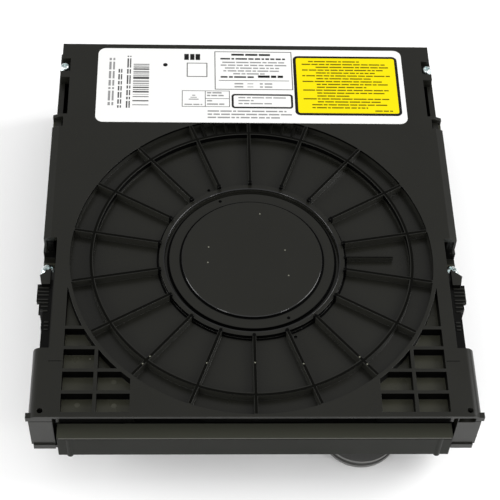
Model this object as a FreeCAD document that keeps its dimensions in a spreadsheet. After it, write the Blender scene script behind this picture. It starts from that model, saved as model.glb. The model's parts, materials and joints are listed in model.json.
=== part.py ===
import FreeCAD, Part

import math
import os
import re

import Sketcher

# Sizes of the drive, in millimetres
# The origin lies on the underside, straight below the disc axis; +Y points to the back.
# Heights are stacked from the bottom plate up, widths from the disc outwards.
SIZES = {
    # clearances
    "running_gap": 0.05,
    "soft_gap": 0.2,
    "loose_gap": 0.3,
    # bottom plate and circuit board
    "plate_thick": 0.8,
    "plate_gap": 0.4,
    "plate_front": 38.0,
    "plate_inset": 4.5,
    "plate_fold": 6.0,
    "board_gap": 2.2,
    "board_thick": 1.6,
    "board_clear": 5.4,
    "board_margin": 16.0,
    "board_front": 18.0,
    "board_inset": 0.9,
    # chassis
    "floor_thick": 2.5,
    "side_wall": 2.2,
    "wall_reach": 11.5,
    "wall_rise": 4.5,
    "rear_wall": 2.1,
    "rear_gap": 6.4,
    "rear_overhang": 2.0,
    "deck_drop": 6.0,
    "deck_thick": 1.6,
    "ledge_thick": 2.5,
    "ledge_grip": 2.3,
    "guide_wall": 1.5,
    "guide_front": 60.0,
    "guide_rise": 3.0,
    # shoulders
    "front_edge": 1.0,
    "cheek_width": 7.9,
    "cheek_wall": 2.2,
    "cheek_gap": 0.3,
    "cheek_round": 3.0,
    "cheek_base": 2.6,
    "cheek_step": 0.6,
    "cheek_hole": 1.0,
    # top cover
    "cover_rise": 4.0,
    "cover_plate": 2.0,
    "edge_thick": 1.2,
    "edge_drop": 3.0,
    "edge_ear": 0.8,
    "lip_drop": 5.3,
    "lip_setback": 3.0,
    "skirt_wall": 1.6,
    "back_skirt": 6.0,
    "waist_step": 3.8,
    "back_step": 4.2,
    "flange_inset": 0.8,
    "flange_overhang": 1.1,
    "flange_slope": 2.7,
    "flange_drop": 1.1,
    "flange_front": 7.5,
    "flange_end": 36.3,
    "flange_skirt": 8.0,
    # round recess of the cover
    "recess_margin": 4.8,
    "recess_depth": 3.2,
    "bowl_floor": 1.8,
    "bowl_rim": 2.0,
    "ring_rib_inset": 7.5,
    "rib_width": 1.2,
    "rib_sink": 0.5,
    "spoke_first_angle": 10.0,
    "spoke_count": 18,
    "tick_count": 11,
    "tick_width": 0.8,
    "tick_drop": 1.0,
    "bead_inner": 31.2,
    "bead_outer": 32.8,
    "bead_drop": 1.4,
    "groove_inner": 29.4,
    "shelf_drop": 2.3,
    "boss_radius": 24.7,
    "boss_drop": 1.4,
    "half_rib_end": 50.0,
    "pin_mark": 0.6,
    # corner pockets of the cover
    "pocket_margin": 10.4,
    "pocket_rib_place": 11.0,
    "pocket_span": 22.6,
    "pocket_back": 14.0,
    "pocket_front_wall": 1.8,
    "pocket_arc_gap": 1.4,
    "pocket_depth": 4.0,
    "pocket_floor": 1.3,
    # label
    "label_left_margin": 10.6,
    "label_right_margin": 7.7,
    "label_deep": 38.0,
    "label_round": 3.0,
    "label_thick": 0.15,
    # tray
    "disc_pocket_radius": 60.5,
    "disc_depth": 2.7,
    "small_disc_radius": 40.6,
    "small_disc_drop": 0.7,
    "slot_half": 23.0,
    "seat_drop": 0.5,
    "tray_thick": 4.5,
    "tray_rim": 4.2,
    "tray_gap": 2.8,
    "panel_overhang": 0.75,
    "panel_gap": 1.15,
    "panel_reach": 3.2,
    "panel_thick": 2.2,
    "panel_skirt": 0.9,
    "crest_rise": 0.4,
    "crest_deep": 5.5,
    "grip_bead_inset": 3.85,
    "grip_bead_radius": 1.2,
    "grip_bead_sink": 0.8,
    "grip_bead_tail": 0.6,
    # loading gears
    "rack_inset": 4.4,
    "rack_depth": 3.5,
    "rack_lift": 1.0,
    "rack_module": 1.0,
    "wheel_module": 0.8,
    "pinion_teeth": 12,
    "wheel_teeth": 28,
    "wheel_lift": 1.7,
    "wheel_thick": 2.8,
    "gear_drop": 1.4,
    "gear_pin": 1.5,
    "pulley_offset": 12.9,
    "pulley_set": 12.2,
    "pulley_radius": 13.4,
    "pulley_groove": 10.5,
    "pulley_low": 3.6,
    "dish_outer": 8.6,
    "dish_inner": 6.2,
    "dish_deep": 0.8,
    "pulley_thick": 4.2,
    "belt_slot": 1.8,
    "belt_thick": 1.0,
    "belt_gap": 0.15,
    "motor_offset": 27.9,
    "motor_set": 9.6,
    "motor_radius": 7.2,
    "motor_flat": 0.8,
    "motor_gap": 0.5,
    "motor_groove": 2.4,
    "motor_flange": 1.2,
    "motor_shaft": 1.0,
    "motor_screw_place": 4.5,
    # cam slider
    "cam_left": 36.0,
    "cam_right": 24.0,
    "cam_gap": 0.4,
    "cam_thick": 2.8,
    "cam_low": 4.4,
    "cam_travel": 20.0,
    "cam_pin": 1.5,
    "cam_pin_left": -26.0,
    "cam_pin_right": -2.0,
    "cam_wall_end": 12.0,
    "cam_pin_gap": 0.3,
    "pin_reach": 4.3,
    "cam_rack_park": 9.0,
    "cam_rack_length": 37.0,
    "cam_rack_depth": 3.2,
    "cam_rack_high": 2.4,
    # traverse
    "lift_angle": 3.5,
    "hinge_pin": 2.0,
    "hinge_reach": 7.4,
    "frame_margin": 12.2,
    "frame_side_gap": 3.5,
    "frame_front": 31.5,
    "frame_bar": 6.0,
    "frame_gap": 1.5,
    "frame_thick": 4.0,
    "base_thick": 1.5,
    "damper_lift": 1.4,
    "damper_front": -16.0,
    "damper_inset": 10.0,
    "damper_radius": 2.8,
    "rod_offset": 4.0,
    "rod_lift": 1.7,
    "rod_radius": 1.5,
    "rod_front": 11.0,
    "rod_over": 8.0,
    "screw_offset": 7.8,
    "screw_lift": 1.5,
    "screw_radius": 1.4,
    "feed_motor_radius": 4.3,
    "lens_y": 24.0,
    "sled_travel": 34.0,
    "sled_half": 20.0,
    "sled_back": 44.0,
    "sled_drop": 1.9,
    "spindle_rise": 10.1,
    "hub_radius": 7.4,
    "turntable_radius": 15.2,
    "rotor_radius": 13.5,
    # clamper
    "clamper_radius": 14.0,
    "clamper_hub": 12.3,
    "holder_rise": 2.0,
    "holder_thick": 0.8,
    # screws and their places
    "cover_screw": 1.2,
    "board_screw": 0.85,
    "tab_inset": 10.9,
    "leg_inset": 0.3,
    "leg_y": 0.4,
    "leg_half": 3.8,
    "tab_thick": 1.4,
    "leg_rise": 8.0,
    "plate_screw_inset": 12.0,
    "plate_screw_back_inset": 10.0,
    "plate_screw_front_set": 8.0,
    "plate_screw_back_set": 7.4,
    "board_screw_inset": 3.4,
    "board_screw_set": 4.0,
    # mounting holes of a half-height drive
    "mount_inset": 2.75,
    "mount_front": -32.0,
    "mount_pitch": 79.25,
    "mount_hole": 1.25,
    "mount_depth": 7.0,
}

# Sizes that follow from those above
DERIVED = {
    # heights
    "board_low": "plate_thick + board_gap",
    "board_top": "board_low + board_thick",
    "floor_low": "board_top + board_clear",
    "floor_top": "floor_low + floor_thick",
    "frame_low": "floor_top + frame_gap",
    "frame_high": "frame_low + frame_thick",
    "hinge_z": "frame_low + frame_thick / 2",
    "base_low": "frame_high + damper_lift",
    "base_top": "base_low + base_thick",
    "rod_z": "base_top + rod_lift",
    "screw_z": "base_top + screw_lift",
    "sled_low": "base_low - sled_drop",
    "disc_seat": "base_top + spindle_rise",
    "holder_low": "disc_seat + holder_rise",
    "holder_top": "holder_low + holder_thick",
    "tray_top": "disc_seat + seat_drop",
    "tray_low": "tray_top - tray_thick",
    "disc_floor": "tray_top - disc_depth",
    "ledge_top": "tray_low - running_gap",
    "ledge_low": "tray_low - ledge_thick",
    "deck_top": "tray_low - deck_drop",
    "cheek_foot": "deck_top - deck_thick",
    "panel_low": "deck_top - panel_skirt",
    "guide_top": "tray_top + guide_rise",
    "wall_top": "tray_top + wall_rise",
    "drive_height": "wall_top + cover_rise",
    "cover_under": "drive_height - cover_plate",
    "edge_under": "drive_height - edge_thick",
    "edge_low": "drive_height - edge_drop",
    "cheek_top": "edge_low - cheek_gap",
    "lip_low": "drive_height - lip_drop",
    "recess_floor": "drive_height - recess_depth",
    "bowl_under": "recess_floor - bowl_floor",
    "wheel_low": "floor_top + wheel_lift",
    "wheel_high": "wheel_low + wheel_thick",
    "gear_top": "tray_low - gear_drop",
    "rack_low": "deck_top + rack_lift",
    "pulley_high": "pulley_low + pulley_thick",
    "belt_level": "pulley_low + pulley_thick / 2",
    "motor_low": "pulley_high + motor_gap",
    "cam_high": "deck_top - 0.4",
    "cam_rack_low": "cam_high + rack_lift",
    "leg_low": "cheek_foot + leg_rise",
    # widths, from the middle outwards
    "rod_x": "sled_half + rod_offset",
    "screw_x": "rod_x + screw_offset",
    "frame_half": "screw_x + frame_margin",
    "floor_half": "frame_half + frame_side_gap",
    "damper_x": "frame_half - frame_bar / 2",
    "tray_half": "disc_pocket_radius + tray_rim",
    "ledge_half": "tray_half - ledge_grip",
    "panel_half": "tray_half + panel_overhang",
    "grip_bead_x": "panel_half - grip_bead_inset",
    "cheek_inner": "panel_half + panel_gap",
    "cheek_half": "cheek_inner + cheek_width",
    "flange_half": "cheek_half - flange_inset",
    "flange_flat_half": "flange_half - flange_slope",
    "wall_outer": "flange_half - flange_overhang",
    "wall_inner": "wall_outer - side_wall",
    "cover_waist_half": "wall_outer - waist_step",
    "cover_back_half": "wall_outer - back_step",
    "plate_half": "wall_inner - plate_gap",
    "board_half": "plate_half - board_margin",
    "mount_x": "wall_outer - mount_inset",
    "rack_back": "tray_half - rack_inset",
    "rack_pitch_x": "rack_back - rack_depth",
    "recess_radius": "cover_waist_half - recess_margin",
    "ring_rib_radius": "recess_radius - ring_rib_inset",
    "pocket_arc": "recess_radius + pocket_arc_gap",
    "pocket_outer": "cheek_half - pocket_margin",
    "pocket_rib": "pocket_outer - pocket_rib_place",
    "pocket_inner": "pocket_outer - pocket_span",
    "label_left": "cover_back_half - label_left_margin",
    "label_right": "cover_back_half - label_right_margin",
    "tab_x": "wall_inner + soft_gap",
    "leg_x": "wall_outer - leg_inset",
    "plate_screw_front_x": "plate_half - plate_screw_inset",
    "plate_screw_back_x": "plate_half - plate_screw_back_inset",
    "board_screw_x": "board_half - board_screw_inset",
    # depths, from the disc axis
    "cam_front": "frame_front + pin_reach + cam_thick",
    "deck_back": "cam_front + cam_gap",
    "cheek_back": "deck_back - 0.5",
    "wall_front": "cheek_back + wall_reach",
    "front_reach": "recess_radius + front_edge",
    "tray_front": "front_reach + panel_reach",
    "pocket_front": "front_reach - pocket_front_wall",
    "rod_back": "sled_back + sled_travel + rod_over",
    "hinge_y": "rod_back + 2",
    "damper_back": "hinge_y - damper_inset",
    "frame_back": "hinge_y + 4",
    "floor_back": "frame_back + 1.5",
    "rear_face": "floor_back + rear_gap",
    "back_reach": "rear_face + rear_overhang",
    "tray_back": "rear_face - rear_wall - tray_gap",
    "flange_back": "back_reach - flange_end",
    "label_back": "rear_face - loose_gap",
    "label_front": "label_back - label_deep",
    "tab_y": "back_reach - tab_inset",
    "plate_back": "floor_back + plate_inset - 0.6",
    "board_back": "plate_back - board_inset",
    "plate_screw_front_y": "plate_screw_front_set - plate_front",
    "plate_screw_back_y": "plate_back - plate_screw_back_set",
    "board_screw_front_y": "board_screw_set - board_front",
    "board_screw_back_y": "board_back - board_screw_set",
    # where the loading gears and the motor stand
    "drive_x": "rack_pitch_x - pinion_teeth * rack_module / 2",
    "pulley_x": "drive_x - pulley_offset",
    "pulley_y": "-deck_back - pulley_set",
    "centres": "(pinion_teeth + wheel_teeth) * wheel_module / 2 + running_gap",
    "drive_y": "pulley_y + sqrt(centres * centres - pulley_offset * pulley_offset)",
    "motor_x": "pulley_x - motor_offset",
    "motor_y": "-deck_back - motor_set",
    "cam_pitch_y": "drive_y + pinion_teeth * rack_module / 2",
    "cam_rack_end": "drive_x - cam_rack_park",
}

doc = FreeCAD.newDocument("disc_drive")
sheet = doc.addObject("Spreadsheet::Sheet", "sizes")
for row, (alias, number) in enumerate(SIZES.items(), start=1):
    sheet.set(f"A{row}", alias)
    sheet.set(f"B{row}", str(number))
    sheet.setAlias(f"B{row}", alias)
derived = doc.addObject("App::VarSet", "derived")
MATHS = {"sqrt", "sin", "cos", "tan", "deg"}
LEFT, RIGHT = ("left", -1), ("right", 1)
SIDES = (LEFT, RIGHT)
NODES = []


def size(name):
    """The number behind the name of a size."""
    if name in DERIVED:
        return float(getattr(derived, name))
    return float(sheet.get(name))


def pointed(word):
    """A size name pointed at the cell or the variable that holds it."""
    if word in MATHS:
        return word
    return ("derived." if word in DERIVED else "sizes.") + word


def bound(formula):
    """A formula of size names that the document can work out."""
    return re.sub(r"[a-z][a-z_]*", lambda found: pointed(found[0]), str(formula))


def bind(thing, prop, formula):
    thing.setExpression(prop, bound(formula))


for name, formula in DERIVED.items():
    derived.addProperty("App::PropertyFloat", name)
    bind(derived, name, formula)
doc.recompute()


def place(thing, x="0", y="0", z="0"):
    """Binds where a solid stands."""
    for axis, formula in zip("xyz", (x, y, z)):
        bind(thing, f"Placement.Base.{axis}", formula)


def block(name, x0, x1, y0, y1, z0, z1):
    """A box between two corners given as formulas."""
    box = doc.addObject("Part::Box", name)
    bind(box, "Length", f"({x1}) - ({x0})")
    bind(box, "Width", f"({y1}) - ({y0})")
    bind(box, "Height", f"({z1}) - ({z0})")
    place(box, x0, y0, z0)
    return box


def side_block(name, sign, inner, outer, y0, y1, z0, z1):
    """A box at one side of the drive, given by its distance from the middle plane."""
    if sign > 0:
        return block(name, inner, outer, y0, y1, z0, z1)
    return block(name, f"-({outer})", f"-({inner})", y0, y1, z0, z1)


def post(name, radius, x, y, z0, z1):
    """An upright cylinder."""
    cylinder = doc.addObject("Part::Cylinder", name)
    bind(cylinder, "Radius", radius)
    bind(cylinder, "Height", f"({z1}) - ({z0})")
    place(cylinder, x, y, z0)
    return cylinder


def bar(name, axis, radius, start, end, a, b):
    """A cylinder along X or Y; a and b are its other two coordinates in order."""
    cylinder = doc.addObject("Part::Cylinder", name)
    bind(cylinder, "Radius", radius)
    bind(cylinder, "Height", f"({end}) - ({start})")
    if axis == "x":
        cylinder.Placement.Rotation = FreeCAD.Rotation(FreeCAD.Vector(0, 1, 0), 90)
        place(cylinder, start, a, b)
    else:
        cylinder.Placement.Rotation = FreeCAD.Rotation(FreeCAD.Vector(1, 0, 0), -90)
        place(cylinder, a, start, b)
    return cylinder


def radial_rib(name, angle, r0, r1, width, z0, z1):
    """A thin wall that runs straight out from the disc axis at an angle in degrees."""
    rib = doc.addObject("Part::Box", name)
    bind(rib, "Length", f"({r1}) - ({r0})")
    bind(rib, "Width", width)
    bind(rib, "Height", f"({z1}) - ({z0})")
    rib.Placement.Rotation = FreeCAD.Rotation(FreeCAD.Vector(0, 0, 1), angle)
    place(
        rib,
        f"({r0}) * cos({angle} * 1deg) + ({width}) / 2 * sin({angle} * 1deg)",
        f"({r0}) * sin({angle} * 1deg) - ({width}) / 2 * cos({angle} * 1deg)",
        z0,
    )
    return rib


def join(name, pieces):
    """One solid of several that touch or overlap."""
    if len(pieces) == 1:
        return pieces[0]
    union = doc.addObject("Part::MultiFuse", name)
    union.Shapes = pieces
    union.Refine = True
    return union


def carve(name, base, tools):
    """The base with the tools taken out of it."""
    cut = doc.addObject("Part::Cut", name)
    cut.Base = base
    cut.Tool = join(name + "_tools", tools)
    cut.Refine = True
    return cut


def ring(name, outer, inner, x, y, z0, z1):
    """An upright tube."""
    return carve(
        name,
        post(name + "_outer", outer, x, y, z0, z1),
        [post(name + "_inner", inner, x, y, f"({z0}) - 1", f"({z1}) + 1")],
    )


def rounded_plate(name, x0, x1, y0, y1, z0, z1, radius):
    """A flat plate with four round corners."""
    pieces = [
        block(name + "_long", x0, x1, f"({y0}) + ({radius})", f"({y1}) - ({radius})", z0, z1),
        block(name + "_short", f"({x0}) + ({radius})", f"({x1}) - ({radius})", y0, y1, z0, z1),
    ]
    for i, x in enumerate((f"({x0}) + ({radius})", f"({x1}) - ({radius})")):
        for j, y in enumerate((f"({y0}) + ({radius})", f"({y1}) - ({radius})")):
            pieces.append(post(f"{name}_corner{i}{j}", radius, x, y, z0, z1))
    return join(name, pieces)


def node(thing, label):
    """Names a finished sub-part and lists it."""
    thing.Label = label
    NODES.append(thing)
    return thing


def shape_node(label, shape, placement=None):
    """A sub-part whose form is worked out by the shape functions."""
    feature = doc.addObject("Part::Feature", label + "_form")
    feature.Shape = shape
    feature.Placement = placement or FreeCAD.Placement()
    return node(feature, label)


def origin_plane(body, role):
    return next(face for face in body.Origin.OriginFeatures if face.Role == role)


def new_sketch(body, name, role="XY_Plane", offset="0"):
    sketch = body.newObject("Sketcher::SketchObject", name)
    sketch.AttachmentSupport = [(origin_plane(body, role), "")]
    sketch.MapMode = "FlatFace"
    bind(sketch, "AttachmentOffset.Base.z", offset)
    return sketch


def draw_outline(sketch, points):
    """A closed outline of straight lines whose corners are bound to formulas."""
    first = sketch.GeometryCount
    count = len(points)
    for i in range(count):
        start = FreeCAD.Vector(math.cos(math.tau * i / count), math.sin(math.tau * i / count), 0)
        end = FreeCAD.Vector(
            math.cos(math.tau * (i + 1) / count), math.sin(math.tau * (i + 1) / count), 0
        )
        sketch.addGeometry(Part.LineSegment(start, end))
    for i in range(count):
        sketch.addConstraint(
            Sketcher.Constraint("Coincident", first + i, 2, first + (i + 1) % count, 1)
        )
    for i, (x, y) in enumerate(points):
        for kind, formula in (("DistanceX", x), ("DistanceY", y)):
            index = sketch.addConstraint(Sketcher.Constraint(kind, -1, 1, first + i, 1, 1.0))
            bind(sketch, f"Constraints[{index}]", formula)


def draw_circle(sketch, radius, x="0", y="0"):
    index = sketch.addGeometry(
        Part.Circle(FreeCAD.Vector(0, 0, 0), FreeCAD.Vector(0, 0, 1), 1.0)
    )
    place_x = sketch.addConstraint(Sketcher.Constraint("DistanceX", -1, 1, index, 3, 1.0))
    bind(sketch, f"Constraints[{place_x}]", x)
    place_y = sketch.addConstraint(Sketcher.Constraint("DistanceY", -1, 1, index, 3, 1.0))
    bind(sketch, f"Constraints[{place_y}]", y)
    round_size = sketch.addConstraint(Sketcher.Constraint("Radius", index, 1.0))
    bind(sketch, f"Constraints[{round_size}]", radius)


def rectangle(x0, x1, y0, y1):
    return [(x0, y0), (x1, y0), (x1, y1), (x0, y1)]


def pad(body, name, sketch, length):
    feature = body.newObject("PartDesign::Pad", name)
    feature.Profile = sketch
    bind(feature, "Length", length)
    return feature


def pocket(body, name, sketch, depth):
    feature = body.newObject("PartDesign::Pocket", name)
    feature.Profile = sketch
    bind(feature, "Length", depth)
    return feature


def turned(label, profile, x="0", y="0"):
    """A body turned about an upright axis; the profile's points are radius and height."""
    body = doc.addObject("PartDesign::Body", label + "_body")
    sketch = new_sketch(body, label + "_profile", "XZ_Plane")
    draw_outline(sketch, profile)
    turn = body.newObject("PartDesign::Revolution", label + "_turn")
    turn.Profile = sketch
    turn.ReferenceAxis = (sketch, ["V_Axis"])
    turn.Angle = 360
    place(body, x, y)
    return body


# Gear teeth

PRESSURE_ANGLE = math.radians(20)
ADDENDUM = 0.7
DEDENDUM = 1.0
BACKLASH = 0.07
FLANK_STEPS = 3


def gear_face(teeth, module, first_angle):
    """The outline of a spur gear, with the middle of one tooth at first_angle."""
    pitch = teeth * module / 2
    base = pitch * math.cos(PRESSURE_ANGLE)
    tip = pitch + ADDENDUM * module
    root = pitch - DEDENDUM * module
    involute = math.tan(PRESSURE_ANGLE) - PRESSURE_ANGLE
    half_tooth = math.pi / (2 * teeth) - BACKLASH / pitch + involute
    flank = [(root, half_tooth)]
    for step in range(FLANK_STEPS + 1):
        radius = base + (tip - base) * step / FLANK_STEPS
        turn = math.acos(min(1.0, base / radius))
        flank.append((radius, half_tooth - math.tan(turn) + turn))
    points = []
    for tooth in range(teeth):
        middle = first_angle + math.tau * tooth / teeth
        points += [(radius, middle - angle) for radius, angle in flank]
        points += [(radius, middle + angle) for radius, angle in reversed(flank)]
    corners = [FreeCAD.Vector(r * math.cos(a), r * math.sin(a), 0) for r, a in points]
    return Part.Face(Part.makePolygon(corners + corners[:1]))


def gear_solid(teeth, module, first_angle, low, high):
    solid = gear_face(teeth, module, first_angle).extrude(FreeCAD.Vector(0, 0, high - low))
    solid.translate(FreeCAD.Vector(0, 0, low))
    return solid


def rack_solid(module, first_gap, low_end, high_end, depth, z0, z1):
    """A straight rack along Y on the pitch line x = 0, its teeth pointing to -X."""
    pitch = math.pi * module
    lean = math.tan(PRESSURE_ANGLE)
    half_gap_tip = pitch / 4 + ADDENDUM * module * lean + BACKLASH
    half_gap_root = pitch / 4 - DEDENDUM * module * lean + BACKLASH
    points = [FreeCAD.Vector(depth, low_end, 0), FreeCAD.Vector(-ADDENDUM * module, low_end, 0)]
    gap = first_gap - pitch * math.floor((first_gap - low_end) / pitch)
    while gap + half_gap_tip < high_end:
        if gap - half_gap_tip > low_end:
            for y, x in (
                (gap - half_gap_tip, -ADDENDUM * module),
                (gap - half_gap_root, DEDENDUM * module),
                (gap + half_gap_root, DEDENDUM * module),
                (gap + half_gap_tip, -ADDENDUM * module),
            ):
                points.append(FreeCAD.Vector(x, y, 0))
        gap += pitch
    points += [FreeCAD.Vector(-ADDENDUM * module, high_end, 0), FreeCAD.Vector(depth, high_end, 0)]
    solid = Part.Face(Part.makePolygon(points + points[:1])).extrude(FreeCAD.Vector(0, 0, z1 - z0))
    solid.translate(FreeCAD.Vector(0, 0, z0))
    return solid


def cylinder(radius, z0, z1, x=0.0, y=0.0):
    return Part.makeCylinder(radius, z1 - z0, FreeCAD.Vector(x, y, z0))


CAM_PINS = {"left": "cam_pin_left", "right": "cam_pin_right"}
POCKET_RIBS = (34.7, 26.6, 17.8, 9.4)
SIDE_RIBS = ((13.2, 18.6), (27.0, 28.2), (33.8, 36.0))


def top_cover():
    """The moulded lid: ribbed round recess, corner pockets, side flanges and front edge."""
    front, back, top = "-front_reach", "back_reach", "drive_height"
    solids = [
        block(
            "cover_back", "-cover_back_half", "cover_back_half", "flange_front", back, "cover_under", top
        ),
        block(
            "cover_middle", "-flange_flat_half", "flange_flat_half", "flange_front", "flange_back",
            "cover_under", top
        ),
        block(
            "cover_waist", "-cover_waist_half", "cover_waist_half", "-cheek_back - 1", "flange_front",
            "cover_under", top
        ),
        block("cover_front", "-cheek_half", "cheek_half", front, "-cheek_back", "cover_under", top),
        post("cover_bowl", "recess_radius + bowl_rim", "0", "0", "bowl_under", top),
        block(
            "cover_front_lip", "1 - pocket_inner", "pocket_inner - 1", f"{front} + lip_setback",
            f"{front} + lip_setback + skirt_wall", "lip_low", top
        ),
        block(
            "cover_back_skirt", "-cover_back_half", "cover_back_half", f"{back} - skirt_wall", back,
            f"{top} - back_skirt", top
        ),
    ]
    tools = [
        post("recess_cut", "recess_radius", "0", "0", "recess_floor", f"{top} + 1"),
        block("bowl_trim", "-30", "30", f"{front} - 4", front, "30", f"{top} + 1"),
    ]
    undercuts = [
        block(
            "edge_undercut", "-cheek_inner", "cheek_inner", f"{front} - 4", f"{front} + 1", "30",
            "edge_under"
        ),
        block(
            "edge_slot", "cheek_inner + loose_gap", "cheek_half - cheek_wall + soft_gap", f"{front} - 1",
            f"{front} + lip_setback", "cheek_top", "edge_under"
        ),
    ]
    ears = []
    for side, sign in SIDES:
        solids += cover_side(side, sign)
        tools += cover_openings(side, sign)
        ears.append(
            side_block(
                f"edge_ear_{side}", sign, "cheek_half - 1", "cheek_half + edge_ear", front,
                f"{front} + 2", "edge_low", f"{top} - edge_ear"
            )
        )
    for i, (x, y) in enumerate(
        (("-15.05", "31.5"), ("-11.8", "25.5"), ("11.8", "-23.6"), ("14.2", "-32.1"))
    ):
        tools.append(post(f"pin_mark{i}", "pin_mark", x, y, f"{top} - pocket_depth", f"{top} + 1"))
    shell = carve(
        "cover_shell", carve("cover_front_shell", join("cover_whole", solids), undercuts), tools
    )
    return node(join("cover_form", [shell] + ears + recess_ribs()), "top_cover")


def cover_side(side, sign):
    """Shoulder wall, skirts, lugs, legs and flange of one side of the cover."""
    front, back, top = "-front_reach", "back_reach", "drive_height"
    edge = "cover_back_half - 1"
    waist = "cover_waist_half - skirt_wall"
    return [
        side_block(
            f"cheek_side_{side}", sign, "cheek_half - cheek_wall", "cheek_half", front, "-cheek_back",
            "edge_low", top
        ),
        side_block(
            f"cheek_front_{side}", sign, "cheek_inner", "cheek_half", front, f"{front} + skirt_wall",
            "edge_low", top
        ),
        side_block(
            f"pocket_body_{side}", sign, "pocket_inner - 1.5", "pocket_outer + 1.5", front,
            "-pocket_back", f"{top} - pocket_depth - pocket_floor", top
        ),
        side_block(
            f"hold_down_{side}", sign, "ledge_half", "ledge_half + skirt_wall", "-guide_front",
            "label_front", "tray_top + loose_gap", "cover_under"
        ),
        side_block(
            f"waist_skirt_{side}", sign, waist, "cover_waist_half", "-cheek_back", "flange_front",
            "guide_top + loose_gap", "cover_under"
        ),
        side_block(
            f"back_skirt_{side}", sign, "cover_back_half - skirt_wall", "cover_back_half", "flange_back",
            "rear_face - rear_wall - loose_gap", "guide_top + loose_gap", "cover_under"
        ),
        side_block(
            f"back_lug_{side}", sign, edge, "cover_back_half + 3.3", f"{back} - 7.7", back, "wall_top",
            top
        ),
        side_block(
            f"gusset_{side}", sign, edge, "cover_back_half + 3.6", f"{back} - 17.5", f"{back} - 14.5",
            "wall_top", top
        ),
        side_block(
            f"screw_tab_{side}", sign, edge, "cover_back_half + 4", f"{back} - 14.5", f"{back} - 7.7",
            "wall_top", "wall_top + tab_thick"
        ),
        side_block(
            f"cover_leg_{side}", sign, waist, "cover_waist_half", "leg_y - leg_half", "flange_front",
            "leg_low", "cover_under"
        ),
        side_block(
            f"leg_foot_{side}", sign, waist, "leg_x + 1.8", "leg_y - leg_half", "leg_y + leg_half",
            "leg_low", "leg_low + tab_thick"
        ),
        flange_strip(side, sign),
    ]


def cover_openings(side, sign):
    """What is cut from one side of the cover."""
    top = "drive_height"
    return [
        corner_pocket(side, sign),
        shoulder_round(side, sign),
        post(f"tab_hole_{side}", "cover_screw + 0.4", f"{sign} * tab_x", "tab_y", "wall_top - 1", top),
        post(
            f"leg_hole_{side}", "cover_screw + loose_gap", f"{sign} * leg_x", "leg_y", "leg_low - 5",
            "leg_low + 3"
        ),
        post(
            f"cheek_hole_{side}", "cheek_hole", f"{sign} * (cheek_half - 3.9)", "2.4 - front_reach",
            f"{top} - 2.6", f"{top} + 1"
        ),
        side_block(
            f"shoulder_tick_{side}", sign, "pocket_outer + 0.3", "pocket_outer + 5", "-cheek_back - 5.4",
            "-cheek_back - 5", f"{top} - 0.3", f"{top} + 1"
        ),
        side_block(
            f"snap_window_{side}", sign, "flange_flat_half - 1.2", "flange_half + 1",
            "flange_back - 6.1", "flange_back - 1.4", f"{top} - 3.4", f"{top} + 1"
        ),
    ]


def recess_ribs():
    """The rings, spokes and short ticks that stand on the floor of the round recess."""
    low, top = "recess_floor - rib_sink", "drive_height"
    ribs = [
        ring(
            "ring_rib", "ring_rib_radius + rib_width / 2", "ring_rib_radius - rib_width / 2", "0", "0",
            low, top
        ),
        ring("bead_ring", "bead_outer", "bead_inner", "0", "0", low, f"{top} - bead_drop"),
        post("shelf", "groove_inner", "0", "0", low, f"{top} - shelf_drop"),
        post("boss", "boss_radius", "0", "0", low, f"{top} - boss_drop"),
        radial_rib("half_rib", 0, "bead_outer - 0.3", "half_rib_end", "rib_width / 2", low, f"{top} - 1"),
    ]
    spokes = int(size("spoke_count"))
    for i in range(spokes):
        angle = size("spoke_first_angle") + 360 / spokes * i
        ribs.append(
            radial_rib(
                f"spoke{i}", angle, "bead_outer - 0.3", "recess_radius + 0.4", "rib_width", low, top
            )
        )
    ticks = int(size("tick_count"))
    for i in range(1, ticks - 1):
        if i != ticks // 2:
            angle = 70 + 40 / (ticks - 1) * i
            ribs.append(
                radial_rib(
                    f"tick{i}", angle, "ring_rib_radius", "recess_radius + 0.4", "tick_width", low,
                    f"{top} - tick_drop"
                )
            )
    return ribs


def shoulder_round(side, sign):
    """What the rounding takes off the outer top edge of a shoulder."""
    corner = side_block(
        f"round_corner_{side}", sign, "cheek_half - cheek_round", "cheek_half + 1",
        "-front_reach - 1", "-cheek_back + 1", "drive_height - cheek_round", "drive_height + 1",
    )
    keep = bar(
        f"round_keep_{side}", "y", "cheek_round", "-front_reach - 2", "-cheek_back + 2",
        f"{sign} * (cheek_half - cheek_round)", "drive_height - cheek_round",
    )
    return carve(f"shoulder_round_{side}", corner, [keep])


def flange_strip(side, sign):
    """The outer strip of a side flange, which slopes down and turns into a skirt."""
    body = doc.addObject("PartDesign::Body", f"flange_{side}")
    sketch = new_sketch(body, f"flange_profile_{side}", "XZ_Plane", "-flange_back")
    s = sign
    draw_outline(
        sketch,
        [
            (f"{s} * (flange_flat_half - 1)", "drive_height"),
            (f"{s} * flange_flat_half", "drive_height"),
            (f"{s} * flange_half", "drive_height - flange_drop"),
            (f"{s} * flange_half", "drive_height - flange_drop - flange_skirt"),
            (f"{s} * (wall_outer + 0.2)", "drive_height - flange_drop - flange_skirt"),
            (f"{s} * (wall_outer + 0.2)", "cover_under"),
            (f"{s} * (flange_flat_half - 1)", "cover_under"),
        ],
    )
    pad(body, f"flange_pad_{side}", sketch, "flange_back - flange_front")
    return body


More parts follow.
